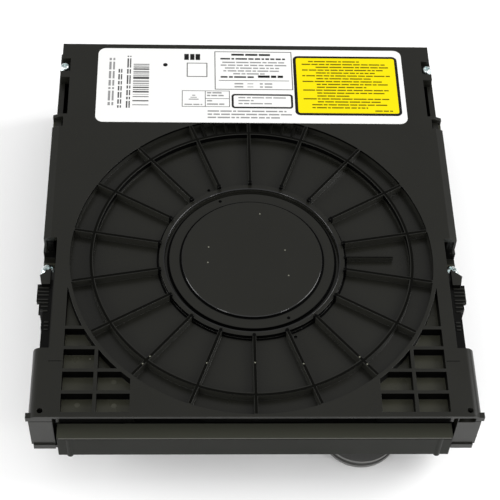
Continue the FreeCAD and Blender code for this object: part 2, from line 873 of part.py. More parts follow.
def corner_pocket(side, sign):
    """One corner's group of pockets, cut by the round recess and crossed by thin ribs."""
    field = side_block(
        f"pocket_field_{side}", sign, "pocket_inner", "pocket_outer", "-pocket_front", "-pocket_back",
        "drive_height - pocket_depth", "drive_height + 1",
    )
    keep = [
        post(f"pocket_round_{side}", "pocket_arc", "0", "0", "drive_height - 10", "drive_height + 2"),
        side_block(
            f"pocket_long_rib_{side}", sign, "pocket_rib - rib_width / 2", "pocket_rib + rib_width / 2",
            "-pocket_front - 1", "26.8 - front_reach", "drive_height - 10", "drive_height + 2",
        ),
    ]
    for i, place_y in enumerate(POCKET_RIBS):
        keep.append(
            side_block(
                f"pocket_cross_rib_{side}{i}", sign, "pocket_inner - 1", "pocket_outer + 1",
                f"{place_y} - front_reach - rib_width / 2", f"{place_y} - front_reach + rib_width / 2",
                "drive_height - 10", "drive_height + 2",
            )
        )
    return carve(f"pocket_group_{side}", field, keep)


def top_label():
    return node(
        rounded_plate(
            "label_form", "-label_left", "label_right", "label_front", "label_back", "drive_height",
            "drive_height + label_thick", "label_round"
        ),
        "top_label",
    )


def main_chassis():
    """The moulded lower housing that carries every other part."""
    slider_wall = "-cam_front + cam_thick + 0.2"
    solids = [
        front_deck(),
        block(
            "rear_wall_plate", "-wall_outer", "wall_outer", "rear_face - rear_wall", "rear_face", "0",
            "wall_top"
        ),
        block(
            "rear_wall_crest", "2 - cover_back_half", "cover_back_half - 2", "rear_face - rear_wall",
            "rear_face", "wall_top - 1", "cover_under"
        ),
        block(
            "floor_rear", "-floor_half - 1", "floor_half + 1", "floor_back", "rear_face - 1",
            "floor_low", "floor_top"
        ),
        block("cam_wall", "-68", "cam_wall_end", "-deck_back - 2", "-deck_back", "3", "cheek_foot + 1"),
        block(
            "cam_ledge", "-58", "cam_wall_end", "-deck_back - 1", "-deck_back + 3.4", "2.8",
            "cam_low - soft_gap"
        ),
        block("cam_ledge_lip", "-58", "-48", slider_wall, f"{slider_wall} + 1", "2.8", "7"),
        block("gear_floor", "44", "wall_inner + 1", "-56", "-deck_back + 5", "floor_low", "floor_top"),
        block(
            "gear_floor_wall", "wall_inner - 2", "wall_inner", "-60", "-deck_back", "floor_low",
            "cheek_foot + 1"
        ),
        post("drive_gear_pin", "gear_pin", "drive_x", "drive_y", "floor_top - 1", "gear_top + 0.9"),
        post(
            "drive_pin_foot", "gear_pin * 2", "drive_x", "drive_y", "floor_top - 1",
            "wheel_low - soft_gap"
        ),
        post("pulley_pin", "gear_pin", "pulley_x", "pulley_y", "pulley_low - 0.8", "cheek_foot + 1"),
        post(
            "pulley_pin_foot", "gear_pin * 2", "pulley_x", "pulley_y", "wheel_high + 0.5",
            "cheek_foot + 1"
        ),
    ]
    tools = [
        block("connector_window", "-22", "22", "rear_face - rear_wall - 1", "rear_face + 1", "2", "9.6")
    ]
    for side, sign in SIDES:
        solids += chassis_wall(side, sign) + chassis_shoulder(side, sign) + chassis_bosses(side, sign)
        tools += chassis_holes(side, sign)
    tools.append(
        block(
            "edge_slot_step", "cheek_inner + loose_gap", "cheek_half - cheek_wall + soft_gap",
            "-front_reach - 1", "-front_reach + lip_setback", "cheek_top - 0.5", "cheek_top + 1"
        )
    )
    return node(carve("chassis_form", join("chassis_whole", solids), tools), "main_chassis")


def chassis_wall(side, sign):
    """Wall, floor, tray ledge and guide of one side, with what stands out from the wall."""
    front_end = "-cheek_back + 0.3"
    floor_front = "-deck_back + 5.5" if sign < 0 else "-deck_back"
    guide = "tray_half + loose_gap"
    pieces = [
        side_block(
            f"wall_front_{side}", sign, "wall_inner", "wall_outer", "-wall_front", "-cheek_back + 1",
            "0", "lip_low"
        ),
        side_block(
            f"wall_{side}", sign, "wall_inner", "wall_outer", front_end, "rear_face", "0", "wall_top"
        ),
        side_block(
            f"wall_crest_{side}", sign, "wall_inner", "wall_outer", "flange_front + loose_gap",
            "flange_back - loose_gap", "wall_top - 1", "cover_under"
        ),
        side_block(
            f"waist_ledge_{side}", sign, "cover_waist_half + soft_gap", "wall_outer - 1", front_end,
            "leg_y - leg_half - 1.5", "wall_top - 1.5", "wall_top"
        ),
        side_block(
            f"floor_{side}", sign, "floor_half", "wall_inner + 1", floor_front, "rear_face - 1",
            "floor_low", "floor_top"
        ),
        side_block(
            f"ledge_{side}", sign, "ledge_half", "wall_inner + 1", "-guide_front", "rear_face - 1",
            "ledge_low", "ledge_top"
        ),
        side_block(
            f"guide_{side}", sign, guide, f"{guide} + guide_wall", "-guide_front", "tray_back",
            "ledge_low", "guide_top"
        ),
        side_block(
            f"hinge_ear_{side}", sign, "frame_half + 2.8", "frame_half + hinge_reach + 0.2",
            "hinge_y - 5", "hinge_y + 5", "floor_top - 1", "hinge_z + 4.5"
        ),
        side_block(
            f"fin_{side}", sign, "wall_outer - 1", "wall_outer + 1.2", "-20.3", "-14.7", "floor_low",
            "wall_top"
        ),
        side_block(
            f"bulge_{side}", sign, "wall_outer - 1", "wall_outer + 0.6", "rear_face - 23.9",
            "rear_face - 13.9", "cheek_foot", "tray_low"
        ),
        side_block(
            f"side_pad_{side}", sign, "wall_outer - 1", "wall_outer + 1.8", "leg_y + 2.6",
            "leg_y + 12.8", "cheek_foot", "wall_top - 5.5"
        ),
        side_hook(side, sign),
    ]
    for i, (low, high) in enumerate(SIDE_RIBS):
        pieces.append(
            side_block(
                f"side_rib_{side}{i}", sign, "wall_outer - 1", "wall_outer + 2.3", "-17", "-10",
                f"{low}", f"{high}"
            )
        )
    return pieces


def side_hook(side, sign):
    """The wedge-shaped hook that stands out from the wall in front of the cover's leg."""
    body = doc.addObject("PartDesign::Body", f"hook_{side}")
    plan = new_sketch(body, f"hook_plan_{side}", offset="wall_top - 6")
    draw_outline(plan, [
        (f"{sign} * wall_inner", "leg_y - 11.4"),
        (f"{sign} * (wall_outer + 0.8)", "leg_y - 11.4"),
        (f"{sign} * (wall_outer + 1.6)", "leg_y - 7.7"),
        (f"{sign} * wall_inner", "leg_y - 4.6"),
    ])
    pad(body, f"hook_pad_{side}", plan, "7.8")
    return body


def chassis_shoulder(side, sign):
    """The hollow block at one side of the tray's front."""
    front, back = "-front_reach", "-cheek_back"
    inner, outer = "cheek_inner", "cheek_half"
    low, top = "cheek_foot + cheek_base - 0.2", "cheek_top"
    return [
        side_block(
            f"cheek_inside_{side}", sign, inner, f"{inner} + cheek_wall", front, back, "cheek_foot", top
        ),
        side_block(f"cheek_outside_{side}", sign, f"{outer} - cheek_wall", outer, front, back, low, top),
        side_block(f"cheek_face_{side}", sign, inner, outer, front, f"{front} + cheek_wall", low, top),
        side_block(f"cheek_rear_{side}", sign, inner, outer, f"{back} - cheek_wall", back, low, top),
        side_block(
            f"cheek_base_{side}", sign, inner, f"{outer} - cheek_step", f"{front} - 0.5", back,
            "cheek_foot", "cheek_foot + cheek_base"
        ),
    ]


def chassis_bosses(side, sign):
    """The bosses for mounting, plate, board and cover screws at one side."""
    middle = "mount_front + mount_pitch"
    high = "floor_low + 1"
    return [
        side_block(
            f"mount_boss_front_{side}", sign, "mount_x - 3.4", "wall_outer", "mount_front - 4",
            "mount_front + 4", "0", high
        ),
        side_block(
            f"mount_boss_back_{side}", sign, "mount_x - 3.4", "wall_outer", f"{middle} - 4",
            f"{middle} + 4", "0", high
        ),
        post(
            f"plate_boss_front_{side}", "3.2", f"{sign} * plate_screw_front_x", "plate_screw_front_y",
            "plate_thick * 2", high
        ),
        post(
            f"plate_boss_back_{side}", "3.2", f"{sign} * plate_screw_back_x", "plate_screw_back_y",
            "plate_thick * 2", high
        ),
        post(
            f"board_boss_front_{side}", "2.6", f"{sign} * board_screw_x", "board_screw_front_y",
            "board_top", high
        ),
        post(
            f"board_boss_back_{side}", "2.6", f"{sign} * board_screw_x", "board_screw_back_y",
            "board_top", high
        ),
        post(f"tab_boss_{side}", "2.1", f"{sign} * tab_x", "tab_y", "wall_top - 10", "wall_top"),
        post(f"leg_boss_{side}", "2.4", f"{sign} * leg_x", "leg_y", "floor_top + 1", "leg_low - 0.1"),
    ]


def chassis_holes(side, sign):
    """Screw holes, hinge bore and the notch for the cover's leg at one side."""
    pilot = "cover_screw + running_gap"
    bore_start = "-frame_half - 9" if sign < 0 else "frame_half + 2"
    return [
        side_block(
            f"leg_notch_{side}", sign, "wall_inner - 1", "wall_outer + 3",
            "leg_y - leg_half - loose_gap", "flange_front + soft_gap", "leg_low - 0.1", "wall_top + 1"
        ),
        bar(
            f"hinge_bore_{side}", "x", "hinge_pin + running_gap", bore_start, f"{bore_start} + 7",
            "hinge_y", "hinge_z"
        ),
        post(
            f"mount_hole_front_{side}", "mount_hole", f"{sign} * mount_x", "mount_front", "-1",
            "mount_depth"
        ),
        post(
            f"mount_hole_back_{side}", "mount_hole", f"{sign} * mount_x", "mount_front + mount_pitch",
            "-1", "mount_depth"
        ),
        post(f"tab_pilot_{side}", pilot, f"{sign} * tab_x", "tab_y", "wall_top - 8", "wall_top + 1"),
        post(f"leg_pilot_{side}", pilot, f"{sign} * leg_x", "leg_y", "leg_low - 8.4", "leg_low + 1"),
        post(
            f"plate_pilot_front_{side}", pilot, f"{sign} * plate_screw_front_x", "plate_screw_front_y",
            "0", "8"
        ),
        post(
            f"plate_pilot_back_{side}", pilot, f"{sign} * plate_screw_back_x", "plate_screw_back_y", "0",
            "8"
        ),
        post(
            f"board_pilot_front_{side}", "board_screw + running_gap", f"{sign} * board_screw_x",
            "board_screw_front_y", "0", "9"
        ),
        post(
            f"board_pilot_back_{side}", "board_screw + running_gap", f"{sign} * board_screw_x",
            "board_screw_back_y", "0", "9"
        ),
        post(
            f"motor_screw_hole_{side}", "board_screw + 0.25", f"motor_x + {sign} * motor_screw_place",
            "motor_y", "cheek_foot - 1", "cheek_foot + 3"
        ),
    ]


def front_deck():
    """The shelf above the loading gears, opened round the gear that meets the rack."""
    plate = block(
        "deck_plate", "-wall_inner", "wall_inner", "-front_reach", "-deck_back", "cheek_foot", "deck_top"
    )
    well = "(wheel_teeth / 2 + 1.6) * wheel_module"
    return carve("deck", plate, [
        post("drive_gear_well", well, "drive_x", "drive_y", "cheek_foot - 1", "deck_top + 1"),
        post("motor_collar_hole", "2", "motor_x", "motor_y", "cheek_foot - 1", "deck_top + 1"),
    ])


def tray():
    """The sliding tray: disc pockets, slot for the turntable, front panel and rack."""
    body = doc.addObject("PartDesign::Body", "tray_body")
    plan = new_sketch(body, "tray_plan", offset="tray_low")
    draw_outline(plan, rectangle("-tray_half", "tray_half", "-tray_front", "tray_back"))
    pad(body, "tray_plate", plan, "tray_top - tray_low")
    panel = new_sketch(body, "panel_plan", offset="panel_low")
    draw_outline(
        panel, rectangle("-panel_half", "panel_half", "-tray_front", "-tray_front + panel_thick")
    )
    pad(body, "front_panel", panel, "tray_top + crest_rise - panel_low")
    crest = new_sketch(body, "crest_plan", offset="tray_top - 1")
    draw_outline(crest, rectangle("-panel_half", "panel_half", "-tray_front", "-tray_front + crest_deep"))
    pad(body, "crest", crest, "1 + crest_rise")
    for side, sign in SIDES:
        bead = new_sketch(body, f"bead_plan_{side}", offset="panel_low - grip_bead_tail")
        draw_circle(bead, "grip_bead_radius", f"{sign} * grip_bead_x", "-tray_front + grip_bead_sink")
        pad(body, f"bead_{side}", bead, "tray_top + crest_rise - panel_low + grip_bead_tail")
    large = new_sketch(body, "disc_pocket_plan", offset="tray_top")
    draw_circle(large, "disc_pocket_radius")
    pocket(body, "disc_pocket", large, "tray_top - disc_floor")
    small = new_sketch(body, "small_disc_plan", offset="disc_floor")
    draw_circle(small, "small_disc_radius")
    pocket(body, "small_disc_pocket", small, "small_disc_drop")
    nose = new_sketch(body, "slot_nose_plan", offset="tray_top + 1")
    draw_circle(nose, "slot_half")
    pocket(body, "slot_nose", nose, "tray_top - tray_low + 2")
    slot = new_sketch(body, "slot_plan", offset="tray_top + 1")
    draw_outline(slot, rectangle("-slot_half", "slot_half", "0", "tray_back + 1"))
    pocket(body, "slot", slot, "tray_top - tray_low + 2")
    hollow = new_sketch(body, "underside_plan", offset="tray_low + 2.5")
    draw_outline(hollow, rectangle("-tray_half + 3", "-slot_half - 3", "66", "tray_back - 2"))
    draw_outline(hollow, rectangle("slot_half + 3", "rack_pitch_x - 2", "66", "tray_back - 2"))
    pocket(body, "underside", hollow, "2.5 + 1")
    doc.recompute()
    rack = rack_solid(
        size("rack_module"), size("drive_y"), -size("guide_front"), size("tray_back"),
        size("rack_depth"), size("rack_low"), size("tray_low") + 0.2,
    )
    rack.translate(FreeCAD.Vector(size("rack_pitch_x"), 0, 0))
    rack_part = doc.addObject("Part::Feature", "rack_form")
    rack_part.Shape = rack
    return node(join("tray_form", [body, rack_part]), "tray")


def pulley_gear():
    """The large loading pulley with its pinion, on a pin below the deck."""
    low, high = size("pulley_low"), size("pulley_high")
    middle, groove = size("belt_level"), size("belt_slot") / 2
    solid = cylinder(size("pulley_radius"), low, middle - groove)
    solid = solid.fuse(cylinder(size("pulley_groove"), middle - groove, middle + groove))
    solid = solid.fuse(cylinder(size("pulley_radius"), middle + groove, high))
    toward = math.atan2(size("drive_y") - size("pulley_y"), size("pulley_offset"))
    teeth = int(size("pinion_teeth"))
    gap_angle = toward + math.pi / teeth
    solid = solid.fuse(gear_solid(teeth, size("wheel_module"), gap_angle, high, size("wheel_high") + 0.3))
    solid = solid.cut(cylinder(size("gear_pin") + size("running_gap"), 0, size("drive_height")))
    dish = cylinder(size("dish_outer"), high - size("dish_deep"), high + 1)
    dish = dish.cut(cylinder(size("dish_inner"), high - size("dish_deep"), high + 1))
    solid = solid.cut(dish).removeSplitter()
    return shape_node("pulley_gear", solid, at("pulley_x", "pulley_y"))


def drive_gear():
    """The gear that takes the pulley's pinion below and drives the tray's rack above."""
    toward = math.atan2(size("pulley_y") - size("drive_y"), -size("pulley_offset"))
    wheel = gear_solid(
        int(size("wheel_teeth")), size("wheel_module"), toward, size("wheel_low"), size("wheel_high")
    )
    pinion = gear_solid(
        int(size("pinion_teeth")), size("rack_module"), 0.0, size("wheel_high"), size("gear_top")
    )
    solid = wheel.fuse(pinion)
    solid = solid.cut(cylinder(size("gear_pin") + size("running_gap"), 0, size("drive_height")))
    return shape_node("drive_gear", solid.removeSplitter(), at("drive_x", "drive_y"))


def at(x, y):
    return FreeCAD.Placement(FreeCAD.Vector(size(x), size(y), 0), FreeCAD.Rotation())


def loading_motor():
    """The can of the loading motor, hung from the deck with its shaft pointing down."""
    side, flat = "motor_radius + 2", "motor_radius - motor_flat"
    left, right = f"motor_x - ({side})", f"motor_x + {side}"
    low, high = "motor_low - 1", "cheek_foot + 1"
    can = join("can_whole", [
        post("can", "motor_radius", "motor_x", "motor_y", "motor_low", "cheek_foot"),
        post("can_neck", "2.6", "motor_x", "motor_y", "motor_low - 0.4", "motor_low + 1"),
    ])
    bored = carve("can_form", can, [
        post(
            "can_bore", "motor_shaft + running_gap", "motor_x", "motor_y", "motor_low - 2",
            "cheek_foot - 3"
        ),
        block("can_flat_front", left, right, f"motor_y - ({side})", f"motor_y - ({flat})", low, high),
        block("can_flat_back", left, right, f"motor_y + {flat}", f"motor_y + {side}", low, high),
        post(
            "can_screw_left", "board_screw + running_gap", "motor_x - motor_screw_place", "motor_y",
            "cheek_foot - 2.4", high
        ),
        post(
            "can_screw_right", "board_screw + running_gap", "motor_x + motor_screw_place", "motor_y",
            "cheek_foot - 2.4", high
        ),
    ])
    node(bored, "loading_motor")
    node(
        post("shaft_form", "motor_shaft", "motor_x", "motor_y", "pulley_low", "cheek_foot - 4"),
        "motor_shaft"
    )
    bore, rim = "motor_shaft + running_gap / 5", "motor_groove + motor_flange"
    low_edge, high_edge = "belt_level - belt_slot / 2", "belt_level + belt_slot / 2"
    profile = [
        (bore, "pulley_low + 0.2"),
        (rim, "pulley_low + 0.2"),
        (rim, f"{low_edge} - 0.2"),
        ("motor_groove", low_edge),
        ("motor_groove", high_edge),
        (rim, f"{high_edge} + 0.2"),
        (rim, "motor_low - 0.7"),
        (bore, "motor_low - 0.7"),
    ]
    node(turned("motor_pulley", profile, "motor_x", "motor_y"), "motor_pulley")


def drive_belt():
    """The rubber belt round the motor's pulley and the large one."""
    gap, width = size("belt_gap"), size("belt_slot") - 4 * size("belt_gap")
    big = (FreeCAD.Vector(size("pulley_x"), size("pulley_y"), 0), size("pulley_groove") + gap)
    small = (FreeCAD.Vector(size("motor_x"), size("motor_y"), 0), size("motor_groove") + gap)
    outer = belt_face(big, small, size("belt_thick"))
    inner = belt_face(big, small, 0.0)
    solid = outer.cut(inner).extrude(FreeCAD.Vector(0, 0, width))
    level = FreeCAD.Vector(0, 0, size("belt_level") - width / 2)
    return shape_node("drive_belt", solid, FreeCAD.Placement(level, FreeCAD.Rotation()))


def belt_face(big, small, extra):
    """The area inside a loop stretched round two circles."""
    (c1, r1), (c2, r2) = big, small
    r1, r2 = r1 + extra, r2 + extra
    line = c2 - c1
    heading = math.atan2(line.y, line.x)
    lean = math.acos((r1 - r2) / line.Length)

    def on(centre, radius, angle):
        return centre + FreeCAD.Vector(radius * math.cos(angle), radius * math.sin(angle), 0)

    a1, b1 = on(c1, r1, heading + lean), on(c1, r1, heading - lean)
    a2, b2 = on(c2, r2, heading + lean), on(c2, r2, heading - lean)
    far1 = on(c1, r1, heading + math.pi)
    far2 = on(c2, r2, heading)
    edges = [
        Part.Arc(a1, far1, b1).toShape(),
        Part.LineSegment(b1, b2).toShape(),
        Part.Arc(b2, far2, a2).toShape(),
        Part.LineSegment(a2, a1).toShape(),
    ]
    return Part.Face(Part.Wire(edges))


def cam_slider():
    """The slider whose two slanting slots raise and lower the traverse."""
    y0, y1 = "-cam_front", "-cam_front + cam_thick"
    rack_start = "cam_rack_end - cam_rack_length"
    plate = join("cam_whole", [
        block("cam_plate", "-cam_left", "cam_right", y0, y1, "cam_low", "cam_high"),
        block(
            "cam_bridge", rack_start, "cam_right", y0, "cam_pitch_y + cam_rack_depth", "cam_high - 0.2",
            "cam_rack_low + 0.1"
        ),
    ])
    drop = (size("hinge_y") + size("cam_front") - size("cam_thick") / 2) * math.tan(
        math.radians(size("lift_angle"))
    )
    slots = [cam_slot(side, size(pin), drop) for side, pin in CAM_PINS.items()]
    doc.recompute()
    carved = carve("cam_carved", plate, slots)
    low = size("cam_rack_low")
    rack = rack_solid(
        size("rack_module"), 0.0, 0.0, size("cam_rack_length"), size("cam_rack_depth"), low,
        low + size("cam_rack_high")
    )
    rack.rotate(FreeCAD.Vector(0, 0, 0), FreeCAD.Vector(0, 0, 1), 90)
    rack.translate(FreeCAD.Vector(size("cam_rack_end"), size("cam_pitch_y"), 0))
    rack_part = doc.addObject("Part::Feature", "cam_rack")
    rack_part.Shape = rack
    return node(join("cam_form", [carved, rack_part]), "cam_slider")


def cam_slot(side, start, drop):
    """A slanting slot with round ends, from the raised to the lowered place of a pin."""
    radius = size("cam_pin") + size("cam_pin_gap")
    travel = size("cam_travel")
    run = math.hypot(travel, drop)
    slant = math.degrees(math.atan2(-drop, travel))
    height = size("hinge_z")
    bottom = Part.makeBox(run, 4 * size("cam_thick"), 2 * radius, FreeCAD.Vector(0, 0, -radius))
    ends = [
        Part.makeCylinder(radius, 4 * size("cam_thick"), FreeCAD.Vector(x, 0, 0), FreeCAD.Vector(0, 1, 0))
        for x in (0, run)
    ]
    slot = bottom.fuse(ends).removeSplitter()
    slot.rotate(FreeCAD.Vector(0, 0, 0), FreeCAD.Vector(0, 1, 0), -slant)
    slot.translate(FreeCAD.Vector(start, -size("cam_front") - size("cam_thick"), height))
    feature = doc.addObject("Part::Feature", f"cam_slot_{side}")
    feature.Shape = slot
    return feature


def traverse_frame():
    """The hinged frame that lifts the turntable and the pickup to the disc."""
    inner = "frame_half - frame_bar"
    pin_end = "frame_half + hinge_reach"
    pieces = [
        block(
            "frame_plate", "-frame_half", "frame_half", "-frame_front", "frame_back", "frame_low",
            "frame_high"
        ),
        bar("hinge_pin_left", "x", "hinge_pin", f"-({pin_end})", "-frame_half + 1", "hinge_y", "hinge_z"),
        bar("hinge_pin_right", "x", "hinge_pin", "frame_half - 1", pin_end, "hinge_y", "hinge_z"),
    ]
    for side, x in CAM_PINS.items():
        pieces.append(
            bar(
                f"cam_pin_{side}", "y", "cam_pin", "-cam_front + soft_gap", "-frame_front + 1", x,
                "hinge_z"
            )
        )
    whole = join("frame_whole", pieces)
    holes = [
        block(
            "frame_opening", f"-({inner})", inner, "-frame_front + 7", "frame_back - 8", "frame_low - 1",
            "frame_high + 1"
        ),
    ]
    for name, x, y in damper_places():
        holes.append(
            post(f"frame_hole_{name}", "1 + running_gap", x, y, "frame_low - 1", "frame_high + 1")
        )
    return node(carve("frame_form", whole, holes), "traverse_frame")


def damper_places():
    """Name and place of each of the four damped corners."""
    return [
        (f"{end}_{side}", f"{sign} * damper_x", f"damper_{end}")
        for end in ("front", "back")
        for side, sign in SIDES
    ]


def dampers():
    """The four rubber bushes and the screws through them."""
    bushes, screws = [], []
    for name, x, y in damper_places():
        spool = join(f"bush_{name}_whole", [
            post(f"bush_low_{name}", "damper_radius", x, y, "frame_high", "base_low"),
            post(f"bush_neck_{name}", "damper_radius - 1", x, y, "base_low", "base_top"),
            post(f"bush_top_{name}", "damper_radius", x, y, "base_top", "base_top + 1.4"),
        ])
        bushes.append(carve(f"bush_{name}", spool, [
            post(f"bush_bore_{name}", "1.1", x, y, "frame_high - 1", "base_top + 3")
        ]))
        screws.append(join(f"damper_screw_{name}", [
            post(f"damper_shank_{name}", "1", x, y, "frame_low + 0.5", "base_top + 2"),
            post(f"damper_head_{name}", "2.4", x, y, "base_top + 1.4", "base_top + 2.6"),
        ]))
    node(group("damper_set", bushes), "damper_bushes")
    node(group("damper_screw_set", screws), "damper_screws")


def group(name, solids):
    """Several separate solids kept as one node."""
    compound = doc.addObject("Part::Compound", name)
    compound.Links = solids
    return compound


def mechanism_base():
    """The steel plate that carries the spindle motor, the guide rods and the feed screw."""
    pieces = [
        block(
            "base_plate", "-damper_x + 2", "damper_x - 2", "damper_front - 4", "hinge_y", "base_low",
            "base_top"
        ),
        block(
            "screw_bearing", "screw_x - 2.4", "screw_x + 2.4", "rod_front - 4", "rod_front - 1",
            "base_low", "screw_z + 2.8"
        ),
    ]
    for name, x, y in damper_places():
        pieces.append(post(f"base_lug_{name}", "damper_radius + 1", x, y, "base_low", "base_top"))
    for side, sign in SIDES:
        for end, y0 in (("front", "rod_front"), ("back", "rod_back - 4")):
            pieces.append(
                side_block(
                    f"rod_holder_{end}_{side}", sign, "rod_x - 2.6", "rod_x + 2.6", y0, f"{y0} + 4",
                    "base_low", "rod_z + 2.4"
                )
            )
    whole = join("base_whole", pieces)
    holes = [
        block(
            "base_opening", "-rod_x - 4.5", "screw_x + 4.8", "rod_front + 4", "rod_back - 4",
            "base_low - 1", "base_top"
        ),
        block(
            "pickup_opening", "-sled_half - 0.6", "sled_half + 0.6", "rod_front + 0.4", "rod_back - 4",
            "base_low - 1", "base_top + 1"
        ),
        post("spindle_opening", "rotor_radius + 0.7", "0", "0", "base_low - 1", "base_top + 1"),
        bar(
            "bearing_bore", "y", "screw_radius + running_gap", "rod_front - 5", "rod_front", "screw_x",
            "screw_z"
        ),
    ]
    for name, x, y in damper_places():
        holes.append(post(f"base_hole_{name}", "damper_radius - 1", x, y, "base_low - 1", "base_top + 1"))
    for side, sign in SIDES:
        holes.append(
            bar(
                f"rod_bore_{side}", "y", "rod_radius + running_gap / 5", "rod_front + 1", "rod_back - 1",
                f"{sign} * rod_x", "rod_z"
            )
        )
    node(carve("base_form", whole, holes), "mechanism_base")
    for side, sign in SIDES:
        node(
            bar(
                f"rod_{side}", "y", "rod_radius", "rod_front + 1", "rod_back - 1", f"{sign} * rod_x",
                "rod_z"
            ),
            f"guide_rod_{side}"
        )


def spindle():
    """The spindle motor's fixed part and, on its shaft, the turntable with its pad and magnet."""
    under = "base_low"
    node(
        turned("spindle_motor", [
            ("0", f"{under} - 4"),
            ("3.2", f"{under} - 4"),
            ("3.2", f"{under} - 1.2"),
            ("17.5", f"{under} - 1.2"),
            ("17.5", under),
            ("3.2", under),
            ("3.2", f"{under} + 1"),
            ("11.4", f"{under} + 1"),
            ("11.4", "disc_seat - 5.6"),
            ("3.2", "disc_seat - 5.6"),
            ("3.2", "disc_seat - 4.2"),
            ("1.5 + running_gap", "disc_seat - 4.2"),
            ("1.5 + running_gap", f"{under} - 3"),
            ("0", f"{under} - 3"),
        ]),
        "spindle_motor",
    )
    node(
        turned("turntable", [
            ("0", f"{under} - 2.9"),
            ("1.5", f"{under} - 2.9"),
            ("1.5", "disc_seat - 3.6"),
            ("rotor_radius - 1", "disc_seat - 3.6"),
            ("rotor_radius - 1", "base_top + 0.3"),
            ("rotor_radius", "base_top + 0.3"),
            ("rotor_radius", "disc_seat - 2.6"),
            ("turntable_radius", "disc_seat - 2.6"),
            ("turntable_radius", "disc_seat - 0.5"),
            ("hub_radius + 1.2", "disc_seat - 0.5"),
            ("hub_radius + 1.2", "disc_seat - 1.2"),
            ("hub_radius", "disc_seat - 1.2"),
            ("hub_radius", "disc_seat + 1"),
            ("hub_radius - 1.2", "disc_seat + 2"),
            ("5.6", "disc_seat + 2"),
            ("5.6", "disc_seat + 0.8"),
            ("2", "disc_seat + 0.8"),
            ("2", "disc_seat + 2"),
            ("0", "disc_seat + 2"),
        ]),
        "turntable",
    )
    node(
        ring(
            "pad_form", "turntable_radius - 0.4", "hub_radius + 3.6", "0", "0", "disc_seat - 0.5",
            "disc_seat"
        ),
        "turntable_pad"
    )
    node(ring("magnet_form", "5.6", "2", "0", "0", "disc_seat + 0.8", "disc_seat + 1.9"), "hub_magnet")


def pickup():
    """The pickup sled on its two rods, with its lens, lens cover and feed nut."""
    top = "disc_seat - 3.7"
    sled = join("sled_whole", [
        block("sled_block", "-sled_half", "sled_half", "rod_front + 1", "sled_back", "sled_low", top),
        bar("sled_bush", "y", "rod_radius + 1.5", "20", "sled_back - 4", "-rod_x", "rod_z"),
        block(
            "sled_bush_arm", "-rod_x", "-sled_half + 1", "20", "sled_back - 4", "rod_z - 1.2",
            "rod_z + 1.2"
        ),
        block("sled_fork", "sled_half - 1", "rod_x + 2.4", "26", "34", "rod_z - 3", "rod_z + 3"),
        block("nut_arm", "sled_half - 1", "screw_x + 2.2", "26", "34", "sled_low", "screw_z - 2.6"),
    ])
    sled_form = carve("sled_form", sled, [
        post("turntable_relief", "turntable_radius + 1", "0", "0", "10", "35"),
        post("motor_relief", "18", "0", "0", "10", "base_low + 0.4"),
        bar("sled_bore", "y", "rod_radius + running_gap", "10", "60", "-rod_x", "rod_z"),
        block(
            "fork_slot", "rod_x - rod_radius - 0.4", "rod_x + 4", "10", "60",
            "rod_z - rod_radius - running_gap", "rod_z + rod_radius + running_gap"
        ),
    ])
    node(sled_form, "optical_pickup")
    nut = block(
        "nut_block", "screw_x - 2.2", "screw_x + 2.2", "27", "33", "screw_z - 2.6", "screw_z + 2.4"
    )
    nut_bore = bar("nut_bore", "y", "screw_radius + running_gap", "20", "40", "screw_x", "screw_z")
    node(carve("nut_form", nut, [nut_bore]), "feed_nut")
    node(
        carve("lens_cover_form", block("lens_cover_plate", "-12", "12", "17.5", "40", top, f"{top} + 0.5"), [
            post("lens_cover_round", "turntable_radius + 1", "0", "0", "20", "35"),
            post("lens_cover_hole", "4.6", "0", "lens_y", "20", "35"),
        ]),
        "lens_cover",
    )
    node(ring("lens_ring_form", "4.2", "2.2", "0", "lens_y", top, f"{top} + 1.4"), "lens_holder")
    node(
        turned("objective_lens", [
            ("0", f"{top} + 0.4"), ("2.2", f"{top} + 0.4"), ("2.2", f"{top} + 1.2"),
            ("1.4", f"{top} + 1.7"), ("0", f"{top} + 1.9"),
        ], "0", "lens_y"),
        "objective_lens",
    )


def feed_drive():
    """The feed motor on the base plate and its lead screw."""
    start = "rod_back - 14.6"
    node(
        bar("lead_form", "y", "screw_radius", "rod_front - 3.5", f"{start} + 1", "screw_x", "screw_z"),
        "lead_screw"
    )
    motor = join("feed_whole", [
        bar("feed_can", "y", "feed_motor_radius", start, "rod_back - 4", "screw_x", "screw_z"),
        block(
            "feed_flange", "rod_x + 2.7", "screw_x + feed_motor_radius", "rod_back - 4.2",
            "rod_back - 3", "base_top", "screw_z + 3.6"
        ),
    ])
    node(
        carve(
            "feed_form", motor,
            [
                bar(
                    "feed_bore", "y", "screw_radius + running_gap", f"{start} - 1", f"{start} + 2.6",
                    "screw_x", "screw_z"
                )
            ]
        ),
        "feed_motor",
    )


